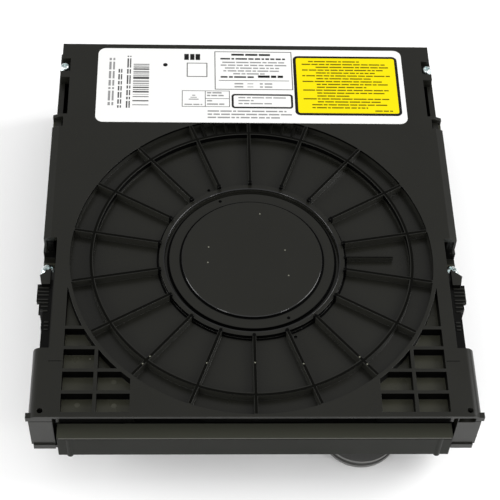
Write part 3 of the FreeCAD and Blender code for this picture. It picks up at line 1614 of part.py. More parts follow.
def clamper():
    """The clamper that holds a disc from above, its steel yoke and its holder."""
    top = "holder_top"
    node(
        turned("disc_clamper", [
            ("0", f"{top} - 0.3"),
            ("hub_radius + 0.8", f"{top} - 0.3"),
            ("hub_radius + 0.8", f"{top} - 1.9"),
            ("clamper_hub", f"{top} - 1.9"),
            ("clamper_hub", f"{top} + 0.1"),
            ("clamper_radius", f"{top} + 0.1"),
            ("clamper_radius", f"{top} + 0.9"),
            ("9", f"{top} + 0.9"),
            ("9", f"{top} + 0.3"),
            ("0", f"{top} + 0.3"),
        ]),
        "disc_clamper",
    )
    node(ring("yoke_form", "8.9", "3", "0", "0", f"{top} + 0.3", f"{top} + 0.9"), "clamper_yoke")
    plate = join("holder_whole", [
        block("holder_plate", "-31", "31", "-8", "8", "holder_low", top),
        post("holder_round", "19", "0", "0", "holder_low", top),
        post("holder_post_left", "3", "-27", "0", "holder_low", "bowl_under"),
        post("holder_post_right", "3", "27", "0", "holder_low", "bowl_under"),
    ])
    node(
        carve(
            "holder_form", plate,
            [post("holder_hole", "clamper_hub + 0.4", "0", "0", "holder_low - 1", f"{top} + 0.1")]
        ),
        "clamper_holder",
    )


def bottom_plate():
    """The folded steel plate that closes the underside, with a pressed dimple at each screw."""
    pieces = [
        block(
            "plate_sheet", "-plate_half", "plate_half", "-plate_front", "plate_back", "0", "plate_thick"
        ),
    ]
    holes = []
    for side, sign in SIDES:
        pieces += [
            side_block(
                f"plate_back_fold_{side}", sign, "26", "plate_half", "plate_back - plate_thick",
                "plate_back", "0", "plate_fold"
            ),
            side_block(
                f"plate_fold_{side}", sign, "plate_half - plate_thick", "plate_half", "-24",
                "plate_back", "0", "plate_fold"
            ),
        ]
        for end, y in (("front", "mount_front"), ("back", "mount_front + mount_pitch")):
            holes.append(
                side_block(
                    f"plate_notch_{end}_{side}", sign, "mount_x - 3.7", "plate_half + 1", f"{y} - 4.3",
                    f"{y} + 4.3", "-1", "plate_fold + 1"
                )
            )
        for name, x, y in plate_screws(side, sign):
            pieces.append(post(f"dimple_{name}", "3.9", x, y, "0", "plate_thick * 2"))
            holes.append(post(f"dimple_well_{name}", "3.2", x, y, "-1", "plate_thick"))
            holes.append(post(f"plate_hole_{name}", "cover_screw + 0.4", x, y, "-1", "3"))
        for i in range(6):
            holes.append(
                block(
                    f"vent_{side}{i}", f"{sign} * 30 - 12", f"{sign} * 30 + 12", f"{i} * 6 + 40",
                    f"{i} * 6 + 42", "-1", "2"
                )
            )
    return node(carve("plate_form", join("plate_whole", pieces), holes), "bottom_plate")


def plate_screws(side, sign):
    """Name and place of the two screws at one side of the bottom plate."""
    return [
        (f"{end}_{side}", f"{sign} * plate_screw_{end}_x", f"plate_screw_{end}_y")
        for end in ("front", "back")
    ]


def circuit():
    """The circuit board, what is soldered to it and the socket for data and power."""
    top = "board_top"
    holes = [
        post(f"board_hole_{name}", "board_screw + 0.35", x, y, "0", "9")
        for side, sign in SIDES
        for name, x, y in board_screws(side, sign)
    ]
    board = block(
        "board_sheet", "-board_half", "board_half", "-board_front", "board_back", "board_low", top
    )
    node(carve("board_form", board, holes), "circuit_board")
    node(block("controller_form", "-9", "9", "58", "76", top, f"{top} + 1.5"), "controller_chip")
    node(block("driver_form", "-34", "-22", "30", "40", top, f"{top} + 1.6"), "motor_driver_chip")
    node(
        group("memory_set", [
            block("memory_one", "18", "26", "50", "61", top, f"{top} + 1.1"),
            block("memory_two", "30", "38", "50", "61", top, f"{top} + 1.1"),
        ]),
        "memory_chips",
    )
    socket = join("socket_whole", [
        block("socket_shell", "-20", "20", "back_reach - 13", "rear_face - 0.6", top, f"{top} + 4.6"),
    ])
    node(
        carve("socket_form", socket, [
            block(
                "data_slot", "-17.6", "-6.4", "back_reach - 10", "back_reach", f"{top} + 1",
                f"{top} + 3.6"
            ),
            block(
                "power_slot", "-3.4", "17.6", "back_reach - 10", "back_reach", f"{top} + 1",
                f"{top} + 3.6"
            ),
        ]),
        "data_power_socket",
    )
    node(
        group("tongue_set", [
            block(
                "data_tongue", "-16.6", "-7.4", "back_reach - 10", "rear_face - 1.4", f"{top} + 1.7",
                f"{top} + 2.9"
            ),
            block(
                "power_tongue", "-2.4", "16.6", "back_reach - 10", "rear_face - 1.4", f"{top} + 1.7",
                f"{top} + 2.9"
            ),
        ]),
        "socket_tongues",
    )
    node(block("flex_socket_form", "-16", "0", "38", "42", top, f"{top} + 2"), "flex_socket")


def board_screws(side, sign):
    """Name and place of the two screws at one side of the circuit board."""
    return [
        (f"{end}_{side}", f"{sign} * board_screw_x", f"board_screw_{end}_y")
        for end in ("front", "back")
    ]


def pickup_flex():
    """The flat cable from the pickup down to its socket on the board."""
    thick, width = 0.3, 12.0
    left, start, bend, top_end = -14.0, 42.0, 50.0, 34.0
    high, low = size("sled_low"), size("board_top") + 1.4
    radius = (high - low) / 2

    def on(y, z):
        return FreeCAD.Vector(left, y, z)

    edges = [
        Part.LineSegment(on(start, low), on(bend, low)),
        Part.Arc(on(bend, low), on(bend + radius, low + radius), on(bend, high)),
        Part.LineSegment(on(bend, high), on(top_end, high)),
        Part.LineSegment(on(top_end, high), on(top_end, high - thick)),
        Part.LineSegment(on(top_end, high - thick), on(bend, high - thick)),
        Part.Arc(on(bend, high - thick), on(bend + radius - thick, low + radius), on(bend, low + thick)),
        Part.LineSegment(on(bend, low + thick), on(start, low + thick)),
        Part.LineSegment(on(start, low + thick), on(start, low)),
    ]
    strip = Part.Face(Part.Wire([edge.toShape() for edge in edges])).extrude(FreeCAD.Vector(width, 0, 0))
    return shape_node("pickup_flex", strip)


def pan_screw(name, radius, head, x, y, z0, z1, head_high, down=False):
    """A pan-head screw: shank from z0 to z1 and the head beyond z1, or beyond z0 if it points up."""
    shank = post(f"{name}_shank", radius, x, y, z0, z1)
    if down:
        cap = post(f"{name}_head", head, x, y, f"{z0} - ({head_high})", z0)
    else:
        cap = post(f"{name}_head", head, x, y, z1, f"{z1} + ({head_high})")
    return join(name, [shank, cap])


def fasteners():
    """The screws that hold the cover, the bottom plate, the board and the motor."""
    cover, bottom, board = [], [], []
    for side, sign in SIDES:
        cover.append(
            pan_screw(
                f"cover_screw_back_{side}", "cover_screw", "2", f"{sign} * tab_x", "tab_y",
                "wall_top - 7", "wall_top + tab_thick", "2"
            )
        )
        cover.append(
            pan_screw(
                f"cover_screw_front_{side}", "cover_screw", "2.6", f"{sign} * leg_x", "leg_y",
                "leg_low - 7.4", "leg_low + tab_thick", "2"
            )
        )
        for name, x, y in plate_screws(side, sign):
            bottom.append(
                pan_screw(
                    f"plate_screw_{name}", "cover_screw", "2.6", x, y, "plate_thick", "7", "0.7",
                    down=True
                )
            )
        for name, x, y in board_screws(side, sign):
            board.append(
                pan_screw(
                    f"board_screw_{name}", "board_screw", "1.8", x, y, "board_low", "8", "1.2", down=True
                )
            )
    node(group("cover_screw_set", cover), "cover_screws")
    node(group("plate_screw_set", bottom), "bottom_screws")
    node(group("board_screw_set", board), "board_screws")
    motor = [
        pan_screw(
            f"motor_screw_{side}", "board_screw", "1.7", f"motor_x + {sign} * motor_screw_place",
            "motor_y", "cheek_foot - 2.2", "deck_top", "0.9"
        )
        for side, sign in SIDES
    ]
    node(group("motor_screw_set", motor), "motor_screws")
    node(
        group("clip_set", [
            ring(
                "clip_low", "2.6", "gear_pin", "pulley_x", "pulley_y", "pulley_low - 0.7",
                "pulley_low - 0.1"
            ),
            ring(
                "clip_high", "2.6", "gear_pin", "drive_x", "drive_y", "gear_top + 0.1", "gear_top + 0.6"
            ),
        ]),
        "gear_clips",
    )


def check_and_write():
    """Stops on a failed object, then writes each sub-part to its own file."""
    doc.recompute()
    for thing in doc.Objects:
        if "Invalid" in thing.State or "Error" in thing.State:
            raise RuntimeError(f"{thing.Name} failed: {thing.State}")
    os.makedirs("parts", exist_ok=True)
    for thing in NODES:
        shape = thing.Shape
        if shape.isNull() or not shape.isValid():
            raise RuntimeError(f"{thing.Label} has no valid shape")
        shape.exportStep(f"parts/{thing.Label}.step")
        print(thing.Label, len(shape.Solids), round(shape.Volume, 1))


top_cover()
top_label()
main_chassis()
tray()
pulley_gear()
drive_gear()
loading_motor()
drive_belt()
cam_slider()
traverse_frame()
mechanism_base()
dampers()
spindle()
pickup()
feed_drive()
clamper()
bottom_plate()
circuit()
pickup_flex()
fasteners()
check_and_write()
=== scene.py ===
import json
import math

import bmesh
import bpy
from mathutils import Matrix, Vector


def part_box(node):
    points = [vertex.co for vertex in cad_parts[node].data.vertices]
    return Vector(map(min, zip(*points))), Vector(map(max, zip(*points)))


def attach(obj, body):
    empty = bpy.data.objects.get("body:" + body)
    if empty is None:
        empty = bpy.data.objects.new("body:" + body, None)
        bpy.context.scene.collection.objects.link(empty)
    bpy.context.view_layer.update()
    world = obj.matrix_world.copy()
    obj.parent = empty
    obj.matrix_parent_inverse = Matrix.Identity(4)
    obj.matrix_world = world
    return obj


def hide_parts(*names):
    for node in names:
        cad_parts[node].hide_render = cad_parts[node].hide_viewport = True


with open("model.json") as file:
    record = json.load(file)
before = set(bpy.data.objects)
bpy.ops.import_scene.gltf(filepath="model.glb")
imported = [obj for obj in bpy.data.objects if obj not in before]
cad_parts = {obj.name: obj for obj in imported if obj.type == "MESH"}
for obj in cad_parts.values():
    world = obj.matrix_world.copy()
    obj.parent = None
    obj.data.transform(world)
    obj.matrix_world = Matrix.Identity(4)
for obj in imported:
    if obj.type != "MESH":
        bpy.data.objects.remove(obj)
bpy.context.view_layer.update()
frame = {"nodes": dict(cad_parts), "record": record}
NODES = frame["nodes"]
MM = 0.001


# Materials


def link(tree, source, target):
    tree.links.new(source, target)


def noise_node(tree, place, scale, detail):
    """An even noise in the object's own space."""
    noise = tree.nodes.new("ShaderNodeTexNoise")
    noise.inputs["Scale"].default_value = scale
    noise.inputs["Detail"].default_value = detail
    link(tree, place.outputs["Object"], noise.inputs["Vector"])
    return noise.outputs["Fac"]


def range_node(tree, value, start, end, low, high):
    """Carries a value from the range start to end over to the range low to high."""
    spread = tree.nodes.new("ShaderNodeMapRange")
    spread.inputs["From Min"].default_value = start
    spread.inputs["From Max"].default_value = end
    spread.inputs["To Min"].default_value = low
    spread.inputs["To Max"].default_value = high
    link(tree, value, spread.inputs["Value"])
    return spread.outputs["Result"]


GRAIN_DEPTH = 0.05
PATCHES_PER_METRE = 45.0
SPECKS_PER_METRE = 900.0


def surface(
    name, color, roughness, metallic=0.0, grain=0.0, grain_size=0.4, edge=0.15, coat=0.0, mottle=0.0,
    dust=0.0, gloss=0.5,
):
    """A procedural finish: a base colour, a fine grain, softened edges and slight unevenness."""
    made = bpy.data.materials.new(name)
    made.use_nodes = True
    tree = made.node_tree
    shader = tree.nodes["Principled BSDF"]
    shader.inputs["Base Color"].default_value = (*color, 1.0)
    shader.inputs["Roughness"].default_value = roughness
    shader.inputs["Metallic"].default_value = metallic
    shader.inputs["Specular IOR Level"].default_value = gloss
    shader.inputs["Coat Weight"].default_value = coat
    shader.inputs["Coat Roughness"].default_value = 0.2
    place = tree.nodes.new("ShaderNodeTexCoord")
    normal = None
    if edge:
        bevel = tree.nodes.new("ShaderNodeBevel")
        bevel.samples = 6
        bevel.inputs["Radius"].default_value = edge * MM
        normal = bevel.outputs["Normal"]
    if grain:
        bump = tree.nodes.new("ShaderNodeBump")
        bump.inputs["Strength"].default_value = grain
        bump.inputs["Distance"].default_value = GRAIN_DEPTH * MM
        link(tree, noise_node(tree, place, 1.0 / (grain_size * MM), 2.0), bump.inputs["Height"])
        if normal:
            link(tree, normal, bump.inputs["Normal"])
        normal = bump.outputs["Normal"]
    if normal:
        link(tree, normal, shader.inputs["Normal"])
    if mottle:
        patches = noise_node(tree, place, PATCHES_PER_METRE, 5.0)
        uneven = range_node(tree, patches, 0.3, 0.7, roughness - mottle, roughness + mottle)
        link(tree, uneven, shader.inputs["Roughness"])
    if dust:
        ramp = tree.nodes.new("ShaderNodeValToRGB")
        clean, dusty = ramp.color_ramp.elements
        clean.position, dusty.position = 0.62, 0.78
        clean.color = (*color, 1.0)
        dusty.color = (*[part + dust for part in color], 1.0)
        link(tree, noise_node(tree, place, SPECKS_PER_METRE, 3.0), ramp.inputs["Fac"])
        link(tree, ramp.outputs["Color"], shader.inputs["Base Color"])
    return made


PLAIN_BLACK = (0.0086, 0.0086, 0.0064)
COVER_BLACK = (0.0078, 0.0078, 0.0058)
TRAY_BLACK = (0.007, 0.0075, 0.0052)
FINISHES = {
    "black_plastic": dict(
        color=PLAIN_BLACK, roughness=0.30, grain=0.2, edge=0.3, mottle=0.05, dust=0.007, gloss=0.3
    ),
    "tray_plastic": dict(color=TRAY_BLACK, roughness=0.38, grain=0.25, edge=0.3, mottle=0.04, gloss=0.08),
    "gear_plastic": dict(color=(0.095, 0.095, 0.092), roughness=0.4, grain=0.1),
    "white_plastic": dict(color=(0.62, 0.60, 0.55), roughness=0.35, edge=0.1),
    "sheet_steel": dict(color=(0.50, 0.51, 0.52), roughness=0.32, metallic=1.0, grain=0.1, mottle=0.06),
    "bright_steel": dict(color=(0.62, 0.63, 0.65), roughness=0.16, metallic=1.0, edge=0.1),
    "zinc_screw": dict(color=(0.70, 0.78, 0.78), roughness=0.2, metallic=1.0, edge=0.08),
    "label_film": dict(color=(0.72, 0.72, 0.71), roughness=0.45, edge=0.0, gloss=0.25),
    "board_laminate": dict(color=(0.012, 0.10, 0.045), roughness=0.3, edge=0.1, coat=0.3),
    "chip_plastic": dict(color=(0.015, 0.015, 0.016), roughness=0.5, grain=0.2),
    "flex_film": dict(color=(0.36, 0.17, 0.05), roughness=0.35, edge=0.0),
    "belt_rubber": dict(color=(0.012, 0.012, 0.012), roughness=0.6, grain=0.2),
    "bush_rubber": dict(color=(0.02, 0.02, 0.02), roughness=0.65, grain=0.2),
    "pad_rubber": dict(color=(0.018, 0.018, 0.018), roughness=0.7, grain=0.3),
    "magnet": dict(color=(0.20, 0.20, 0.21), roughness=0.35, metallic=1.0),
    "zinc_sled": dict(color=(0.40, 0.40, 0.41), roughness=0.42, metallic=1.0, grain=0.3),
    "lens_glass": dict(color=(0.30, 0.34, 0.62), roughness=0.05, coat=1.0, edge=0.0),
}
MATERIALS = {name: surface(name, **finish) for name, finish in FINISHES.items()}
PRINT_BLACK = surface("print_black", (0.006, 0.006, 0.006), 0.5, edge=0.0, gloss=0.15)
PRINT_GREY = surface("print_grey", (0.07, 0.07, 0.07), 0.5, edge=0.0, gloss=0.15)
PRINT_PALE = surface("print_pale", (0.24, 0.24, 0.24), 0.5, edge=0.0, gloss=0.15)
PRINT_YELLOW = surface("print_yellow", (0.72, 0.60, 0.0), 0.5, edge=0.0, gloss=0.12)
PRINT_OLIVE = surface("print_olive", (0.13, 0.10, 0.0), 0.5, edge=0.0, gloss=0.12)


def number_node(tree, operation, first, second=0.0):
    """A math node whose inputs are numbers or sockets."""
    made = tree.nodes.new("ShaderNodeMath")
    made.operation = operation
    for socket, value in zip(made.inputs, (first, second)):
        if isinstance(value, (int, float)):
            socket.default_value = value
        else:
            link(tree, value, socket)
    return made.outputs["Value"]


def over(tree, value, limit):
    """A mask of 1 where a value is over a limit."""
    return number_node(tree, "GREATER_THAN", value, limit)


def under(tree, value, limit):
    """A mask of 1 where a value is under a limit."""
    return number_node(tree, "LESS_THAN", value, limit)


def distance(tree, value, middle):
    """How far a value is from a middle, either way."""
    return number_node(tree, "ABSOLUTE", number_node(tree, "SUBTRACT", value, middle))


def all_of(tree, first, *others):
    """The mask where all the given masks hold."""
    for other in others:
        first = number_node(tree, "MULTIPLY", first, other)
    return first


def any_of(tree, first, *others):
    """The mask where at least one of the given masks holds."""
    for other in others:
        first = number_node(tree, "MAXIMUM", first, other)
    return first


def facing_up(tree):
    """The upward share of the surface's normal and its place, both as sockets."""
    form = tree.nodes.new("ShaderNodeNewGeometry")
    lean = tree.nodes.new("ShaderNodeSeparateXYZ")
    link(tree, form.outputs["True Normal"], lean.inputs["Vector"])
    place = tree.nodes.new("ShaderNodeTexCoord")
    where = tree.nodes.new("ShaderNodeSeparateXYZ")
    link(tree, place.outputs["Object"], where.inputs["Vector"])
    return lean.outputs["Z"], (where.outputs["X"], where.outputs["Y"], where.outputs["Z"])


def blend(tree, mask, first, second):
    """Two colours or two numbers, shared out by a mask; the first may be a colour socket."""
    shares = tree.nodes.new("ShaderNodeMix")
    link(tree, mask, shares.inputs["Factor"])
    if not isinstance(second, tuple):
        shares.inputs["A"].default_value = first
        shares.inputs["B"].default_value = second
        return shares.outputs["Result"]
    shares.data_type = "RGBA"
    color_a, color_b = shares.inputs[6], shares.inputs[7]
    if isinstance(first, tuple):
        color_a.default_value = (*first, 1.0)
    else:
        link(tree, first, color_a)
    color_b.default_value = (*second, 1.0)
    return shares.outputs[2]


SPOKE_FIRST = math.radians(10)
SPOKE_STEP = math.radians(20)
RING_MIDDLE = 56.65
LINE_HALF = 0.45
RIB_CLEAR = 1.2


def rib_lines(tree, x, y, reach):
    """Thin lines along the middle of the recess's spokes and ring, and the whole of its short ribs: where
    painted shade goes on the rib tops.
    """
    steps = number_node(tree, "SUBTRACT", number_node(tree, "ARCTAN2", y, x), SPOKE_FIRST)
    steps = number_node(tree, "DIVIDE", steps, SPOKE_STEP)
    steps = number_node(tree, "SUBTRACT", steps, number_node(tree, "ROUND", steps))
    turn = number_node(tree, "MULTIPLY", steps, SPOKE_STEP)
    beside_spoke = number_node(tree, "MULTIPLY", reach, number_node(tree, "SINE", turn))
    beside_spoke = number_node(tree, "ABSOLUTE", beside_spoke)
    beside_ring = distance(tree, reach, RING_MIDDLE * MM)
    spokes = under(tree, beside_spoke, LINE_HALF * MM)
    ring = under(tree, beside_ring, LINE_HALF * MM)
    short_ribs = all_of(
        tree, over(tree, beside_spoke, RIB_CLEAR * MM), over(tree, beside_ring, RIB_CLEAR * MM)
    )
    return any_of(tree, spokes, ring, short_ribs)


RECESS_EDGE = 64.3
CREST_EDGE = 63.8
CREST_LOW = 38.9
FLOOR_LEVEL = 36.85
POCKET_TOP = 37.2
WALL_FOOT = 34.5
LIP_LEVEL = 38.8
WALL_LEVEL = 39.8
WALL_FRONT = -60.8
WALL_BACK = 66.0
WALL_SIDE = 64.5
SHADE_WALLS = ((32.8, 36.9), (56.05, 37.9), (64.0, 39.0))
SHADE_WALL_HALF = 0.3
SHADE_RINGS = ((25.2, 0.9), (29.6, 0.9), (33.3, 0.8))
POCKET_TONE = (0.036, 0.036, 0.025)
# Painted light: the rib sides inside the recess are lighter so that they match the lit floor.
RIB_SIDE_PAINTED_LIGHT_TONE = (0.0150, 0.0150, 0.0122)
# Painted shade: the near-black of the rib tops, standing in for the thin shadow lines beside the ribs.
CREST_PAINTED_SHADE_TONE = (0.0025, 0.0025, 0.0020)
SHADE_TONE = (0.0012, 0.0012, 0.0012)
PLASTIC_GLOSS = 0.3
SHADE_GLOSS = 0.04
HALF_UP = 0.5


def pocket_walls(tree, wall, outside, x, y, z):
    """The low walls of the recess, the corner pockets and the front lip, each up to its own height, which
    get painted shade.
    """
    behind_lip = over(tree, y, WALL_FRONT * MM)
    rise = number_node(tree, "MULTIPLY", behind_lip, (WALL_LEVEL - LIP_LEVEL) * MM)
    rise = number_node(tree, "ADD", rise, (LIP_LEVEL - FLOOR_LEVEL) * MM)
    level = number_node(tree, "ADD", number_node(tree, "MULTIPLY", outside, rise), FLOOR_LEVEL * MM)
    between_sides = under(tree, number_node(tree, "ABSOLUTE", x), WALL_SIDE * MM)
    return all_of(
        tree, wall, under(tree, z, level), over(tree, z, WALL_FOOT * MM), between_sides,
        under(tree, y, WALL_BACK * MM),
    )


def cover_plastic():
    """The black of the cover: painted shade as dark lines on its ribs and as near-black feet and pocket
    walls, rib sides lightened as painted light, paler pockets.
    """
    made = surface("cover_plastic", COVER_BLACK, 0.30, grain=0.15, edge=0.2, mottle=0.05, gloss=0.3)
    tree = made.node_tree
    up, (x, y, z) = facing_up(tree)
    squares = [number_node(tree, "MULTIPLY", part, part) for part in (x, y)]
    reach = number_node(tree, "SQRT", number_node(tree, "ADD", *squares))
    wall = under(tree, number_node(tree, "ABSOLUTE", up), HALF_UP)
    flat = over(tree, up, HALF_UP)
    outside = over(tree, reach, RECESS_EDGE * MM)
    inside = number_node(tree, "SUBTRACT", 1.0, outside)
    # Painted shade: near-black wall feet, pocket walls and rings round the middle, with less gloss.
    shade = pocket_walls(tree, wall, outside, x, y, z)
    for radius, low in SHADE_WALLS:
        near = under(tree, distance(tree, reach, radius * MM), SHADE_WALL_HALF * MM)
        shade = any_of(tree, shade, all_of(tree, wall, near, over(tree, z, low * MM)))
    for radius, width in SHADE_RINGS:
        shade = any_of(tree, shade, under(tree, distance(tree, reach, radius * MM), width / 2 * MM))
    # Painted shade on the rib tops, in place of the ribs' shadow lines.
    rib_top_shade = all_of(
        tree, flat, over(tree, z, CREST_LOW * MM), under(tree, reach, CREST_EDGE * MM),
        rib_lines(tree, x, y, reach),
    )
    # Painted light on the steep rib sides inside the recess.
    painted_light_rib_sides = all_of(tree, wall, inside, over(tree, z, FLOOR_LEVEL * MM))
    pockets = all_of(tree, flat, outside, under(tree, z, POCKET_TOP * MM))
    shader = tree.nodes["Principled BSDF"]
    color = COVER_BLACK
    for mask, shown in (
        (pockets, POCKET_TONE), (painted_light_rib_sides, RIB_SIDE_PAINTED_LIGHT_TONE), (rib_top_shade, CREST_PAINTED_SHADE_TONE), (shade, SHADE_TONE)
    ):
        color = blend(tree, mask, color, shown)
    link(tree, color, shader.inputs["Base Color"])
    gloss = blend(tree, any_of(tree, shade, rib_top_shade), PLASTIC_GLOSS, SHADE_GLOSS)
    link(tree, gloss, shader.inputs["Specular IOR Level"])
    return made


STEEP_UP = 0.8
SHOULDER_BACK = -38.0
DETAIL_FOOT = 36.1
DETAIL_INNER = 69.6
DETAIL_FRONT = -36.0
DETAIL_BACK = -8.0
SIDE_PAINTED_SHADE_TONE = (0.0025, 0.0025, 0.0022)
SIDE_PAINTED_SHADE_GLOSS = 0.1


def chassis_plastic():
    """The black of the chassis, darker on its steep faces and at the feet of its side details: painted
    shade.
    """
    made = surface("chassis_plastic", PLAIN_BLACK, 0.30, grain=0.2, edge=0.3, mottle=0.05, gloss=0.3)
    tree = made.node_tree
    up, (x, y, z) = facing_up(tree)
    steep = all_of(tree, under(tree, up, STEEP_UP), over(tree, y, SHOULDER_BACK * MM))
    beside_cover = over(tree, number_node(tree, "ABSOLUTE", x), DETAIL_INNER * MM)
    feet = all_of(
        tree, under(tree, z, DETAIL_FOOT * MM), beside_cover, over(tree, y, DETAIL_FRONT * MM),
        under(tree, y, DETAIL_BACK * MM),
    )
    # Painted shade on the steep faces and at the feet of the side details.
    mask = any_of(tree, steep, feet)
    shader = tree.nodes["Principled BSDF"]
    link(tree, blend(tree, mask, PLAIN_BLACK, SIDE_PAINTED_SHADE_TONE), shader.inputs["Base Color"])
    gloss = blend(tree, mask, PLASTIC_GLOSS, SIDE_PAINTED_SHADE_GLOSS)
    link(tree, gloss, shader.inputs["Specular IOR Level"])
    return made


STRIP_FRONT = -63.0
STRIP_BACK = -60.0
TRAY_TOP_PAINTED_LIGHT_TONE = (0.038, 0.039, 0.030)
STRIP_PAINTED_SHADOW_TONE = (0.003, 0.003, 0.003)


def tray_top_tone():
    """Lets the tray's upper faces be paler than its front as painted light, with a dark strip right behind
    its panel as a painted shadow.
    """
    tree = MATERIALS["tray_plastic"].node_tree
    up, (_, y, _) = facing_up(tree)
    strip = all_of(tree, over(tree, y, STRIP_FRONT * MM), under(tree, y, STRIP_BACK * MM))
    # Painted light on the upward faces, then a painted shadow on the strip behind the panel.
    color = blend(tree, over(tree, up, HALF_UP), TRAY_BLACK, TRAY_TOP_PAINTED_LIGHT_TONE)
    color = blend(tree, strip, color, STRIP_PAINTED_SHADOW_TONE)
    link(tree, color, tree.nodes["Principled BSDF"].inputs["Base Color"])


def dress(node, material):
    """Gives a node of the frame its material."""
    NODES[node].data.materials.clear()
    NODES[node].data.materials.append(material)


tray_top_tone()
for entry in frame["record"]["subparts"]:
    dress(entry["node"], MATERIALS[entry["material_slot"]])
dress("main_chassis", chassis_plastic())
dress("top_cover", cover_plastic())


# Forms, each given in millimetres


def mesh_of(name, builder):
    """The mesh of the corners and faces that were built."""
    mesh = bpy.data.meshes.new(name)
    builder.to_mesh(mesh)
    builder.free()
    return mesh


def add_piece(name, builder, material, body):
    """A visible piece that moves with a body of the frame."""
    mesh = mesh_of(name, builder)
    mesh.materials.append(material)
    piece = bpy.data.objects.new(name, mesh)
    bpy.context.scene.collection.objects.link(piece)
    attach(piece, body)
    return piece


def box_forms(boxes):
    """Several upright boxes, each given as x0, x1, y0, y1, z0, z1."""
    builder = bmesh.new()
    for x0, x1, y0, y1, z0, z1 in boxes:
        size = Vector((x1 - x0, y1 - y0, z1 - z0)) * MM
        middle = Vector((x0 + x1, y0 + y1, z0 + z1)) * MM / 2
        bmesh.ops.create_cube(
            builder, size=1.0, matrix=Matrix.Translation(middle) @ Matrix.Diagonal((*size, 1.0))
        )
    return builder


def add_cylinder(builder, middle, radius, length, segments, turn=Matrix.Identity(4)):
    """A closed cylinder round the vertical, or round the axis that turn gives."""
    bmesh.ops.create_cone(
        builder, cap_ends=True, segments=segments, radius1=radius * MM, radius2=radius * MM,
        depth=length * MM, matrix=Matrix.Translation(Vector(middle) * MM) @ turn,
    )


def spot_forms(spots, radius, thick=0.03, segments=12):
    """Small flat discs, each given as x, y and the height of the face it lies on."""
    builder = bmesh.new()
    for x, y, z in spots:
        add_cylinder(builder, (x, y, z + thick / 2), radius, thick, segments)
    return builder


def rod_form(x0, x1, y, z, radius):
    """A thin round bar along the width."""
    builder = bmesh.new()
    turn = Matrix.Rotation(math.radians(90), 4, "Y")
    add_cylinder(builder, ((x0 + x1) / 2, y, z), radius, x1 - x0, 16, turn)
    return builder


def ring_form(radius, thick, height, steps=96, sides=10):
    """A thin closed ring of round section, lying flat."""
    builder = bmesh.new()
    loops = []
    for step in range(steps):
        turn = 2 * math.pi * step / steps
        loop = []
        for side in range(sides):
            lean = 2 * math.pi * side / sides
            reach = radius + thick * math.cos(lean)
            corner = (reach * math.cos(turn), reach * math.sin(turn), height + thick * math.sin(lean))
            loop.append(builder.verts.new(Vector(corner) * MM))
        loops.append(loop)
    for here, after in zip(loops, loops[1:] + loops[:1]):
        for side in range(sides):
            beside = (side + 1) % sides
            builder.faces.new((here[side], after[side], after[beside], here[beside]))
    bmesh.ops.recalc_face_normals(builder, faces=builder.faces)
    for face in builder.faces:
        face.smooth = True
    return builder


def rounded_form(x0, x1, y0, y1, radius, low, thick):
    """A flat plate with round corners."""
    builder = bmesh.new()
    rim = []
    for x, y, start in (
        (x1 - radius, y1 - radius, 0),
        (x0 + radius, y1 - radius, 90),
        (x0 + radius, y0 + radius, 180),
        (x1 - radius, y0 + radius, 270),
    ):
        for step in range(7):
            angle = math.radians(start + step * 15)
            corner = (x + radius * math.cos(angle), y + radius * math.sin(angle), low)
            rim.append(builder.verts.new([part * MM for part in corner]))
    lifted = bmesh.ops.extrude_face_region(builder, geom=[builder.faces.new(rim)])
    moved = [part for part in lifted["geom"] if isinstance(part, bmesh.types.BMVert)]
    bmesh.ops.translate(builder, vec=(0, 0, thick * MM), verts=moved)
    bmesh.ops.recalc_face_normals(builder, faces=builder.faces)
    return builder


def polar(radius, angle, height):
    """A point of the cover's recess."""
    return (radius * math.cos(math.radians(angle)), radius * math.sin(math.radians(angle)), height)


# The label's print


LABEL_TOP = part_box("top_label")[1].z / MM
PRINT_THICK = 0.012
YELLOW_ROWS = (
    (24.0, 44.0), (21.4, 54.0), (26.8, 55.2), (21.4, 53.0), (26.8, 50.4), (21.4, 55.6), (26.8, 48.0),
    (21.4, 52.2), (26.8, 54.4), (26.8, 46.0), (21.4, 55.0), (26.8, 52.8), (26.8, 40.0), (21.4, 54.4),
    (26.8, 51.0), (24.6, 53.4), (24.6, 46.0), (48.6, 55.4),
)
FRAME_ROWS = ((-9.6, 14.6), (-10.2, 15.4), (-8.6, 12.8), (-9.2, 12.4), (-5.4, 6.8))
SIDE_PRINT = (
    ("label_side_wide", -52.3, 2.2, 69.8, 94.4, PRINT_PALE),
    ("label_side_middle", -49.0, 1.5, 68.6, 88.8, PRINT_GREY),
    ("label_side_inner", -45.7, 1.5, 68.6, 95.6, PRINT_GREY),
)
LABEL_BARS = (
    ("label_bars_dark", PRINT_GREY, (
        (89.9, 0.5), (89.0, 0.8), (84.6, 1.2), (80.3, 0.3), (79.4, 0.7), (78.1, 0.4), (77.2, 0.8),
        (74.5, 0.4), (72.5, 0.6),
    )),
    ("label_bars_pale", PRINT_PALE, (
        (91.4, 0.6), (90.5, 0.3), (87.6, 0.9), (86.3, 0.5), (85.4, 0.5), (82.7, 0.8), (81.4, 0.6),
        (75.6, 0.3), (70.4, 0.5),
    )),
)


def print_piece(name, fields, ink, layer=0):
    """Flat printed fields on the label, each given as x0, x1, y0, y1."""
    low = LABEL_TOP + layer * PRINT_THICK
    boxes = [(*field, low, low + PRINT_THICK) for field in fields]
    return add_piece(name, box_forms(boxes), ink, "chassis")


def rounded_field(name, x0, x1, y0, y1, radius, ink, layer=0):
    """A printed field with round corners."""
    form = rounded_form(x0, x1, y0, y1, radius, LABEL_TOP + layer * PRINT_THICK, PRINT_THICK)
    return add_piece(name, form, ink, "chassis")


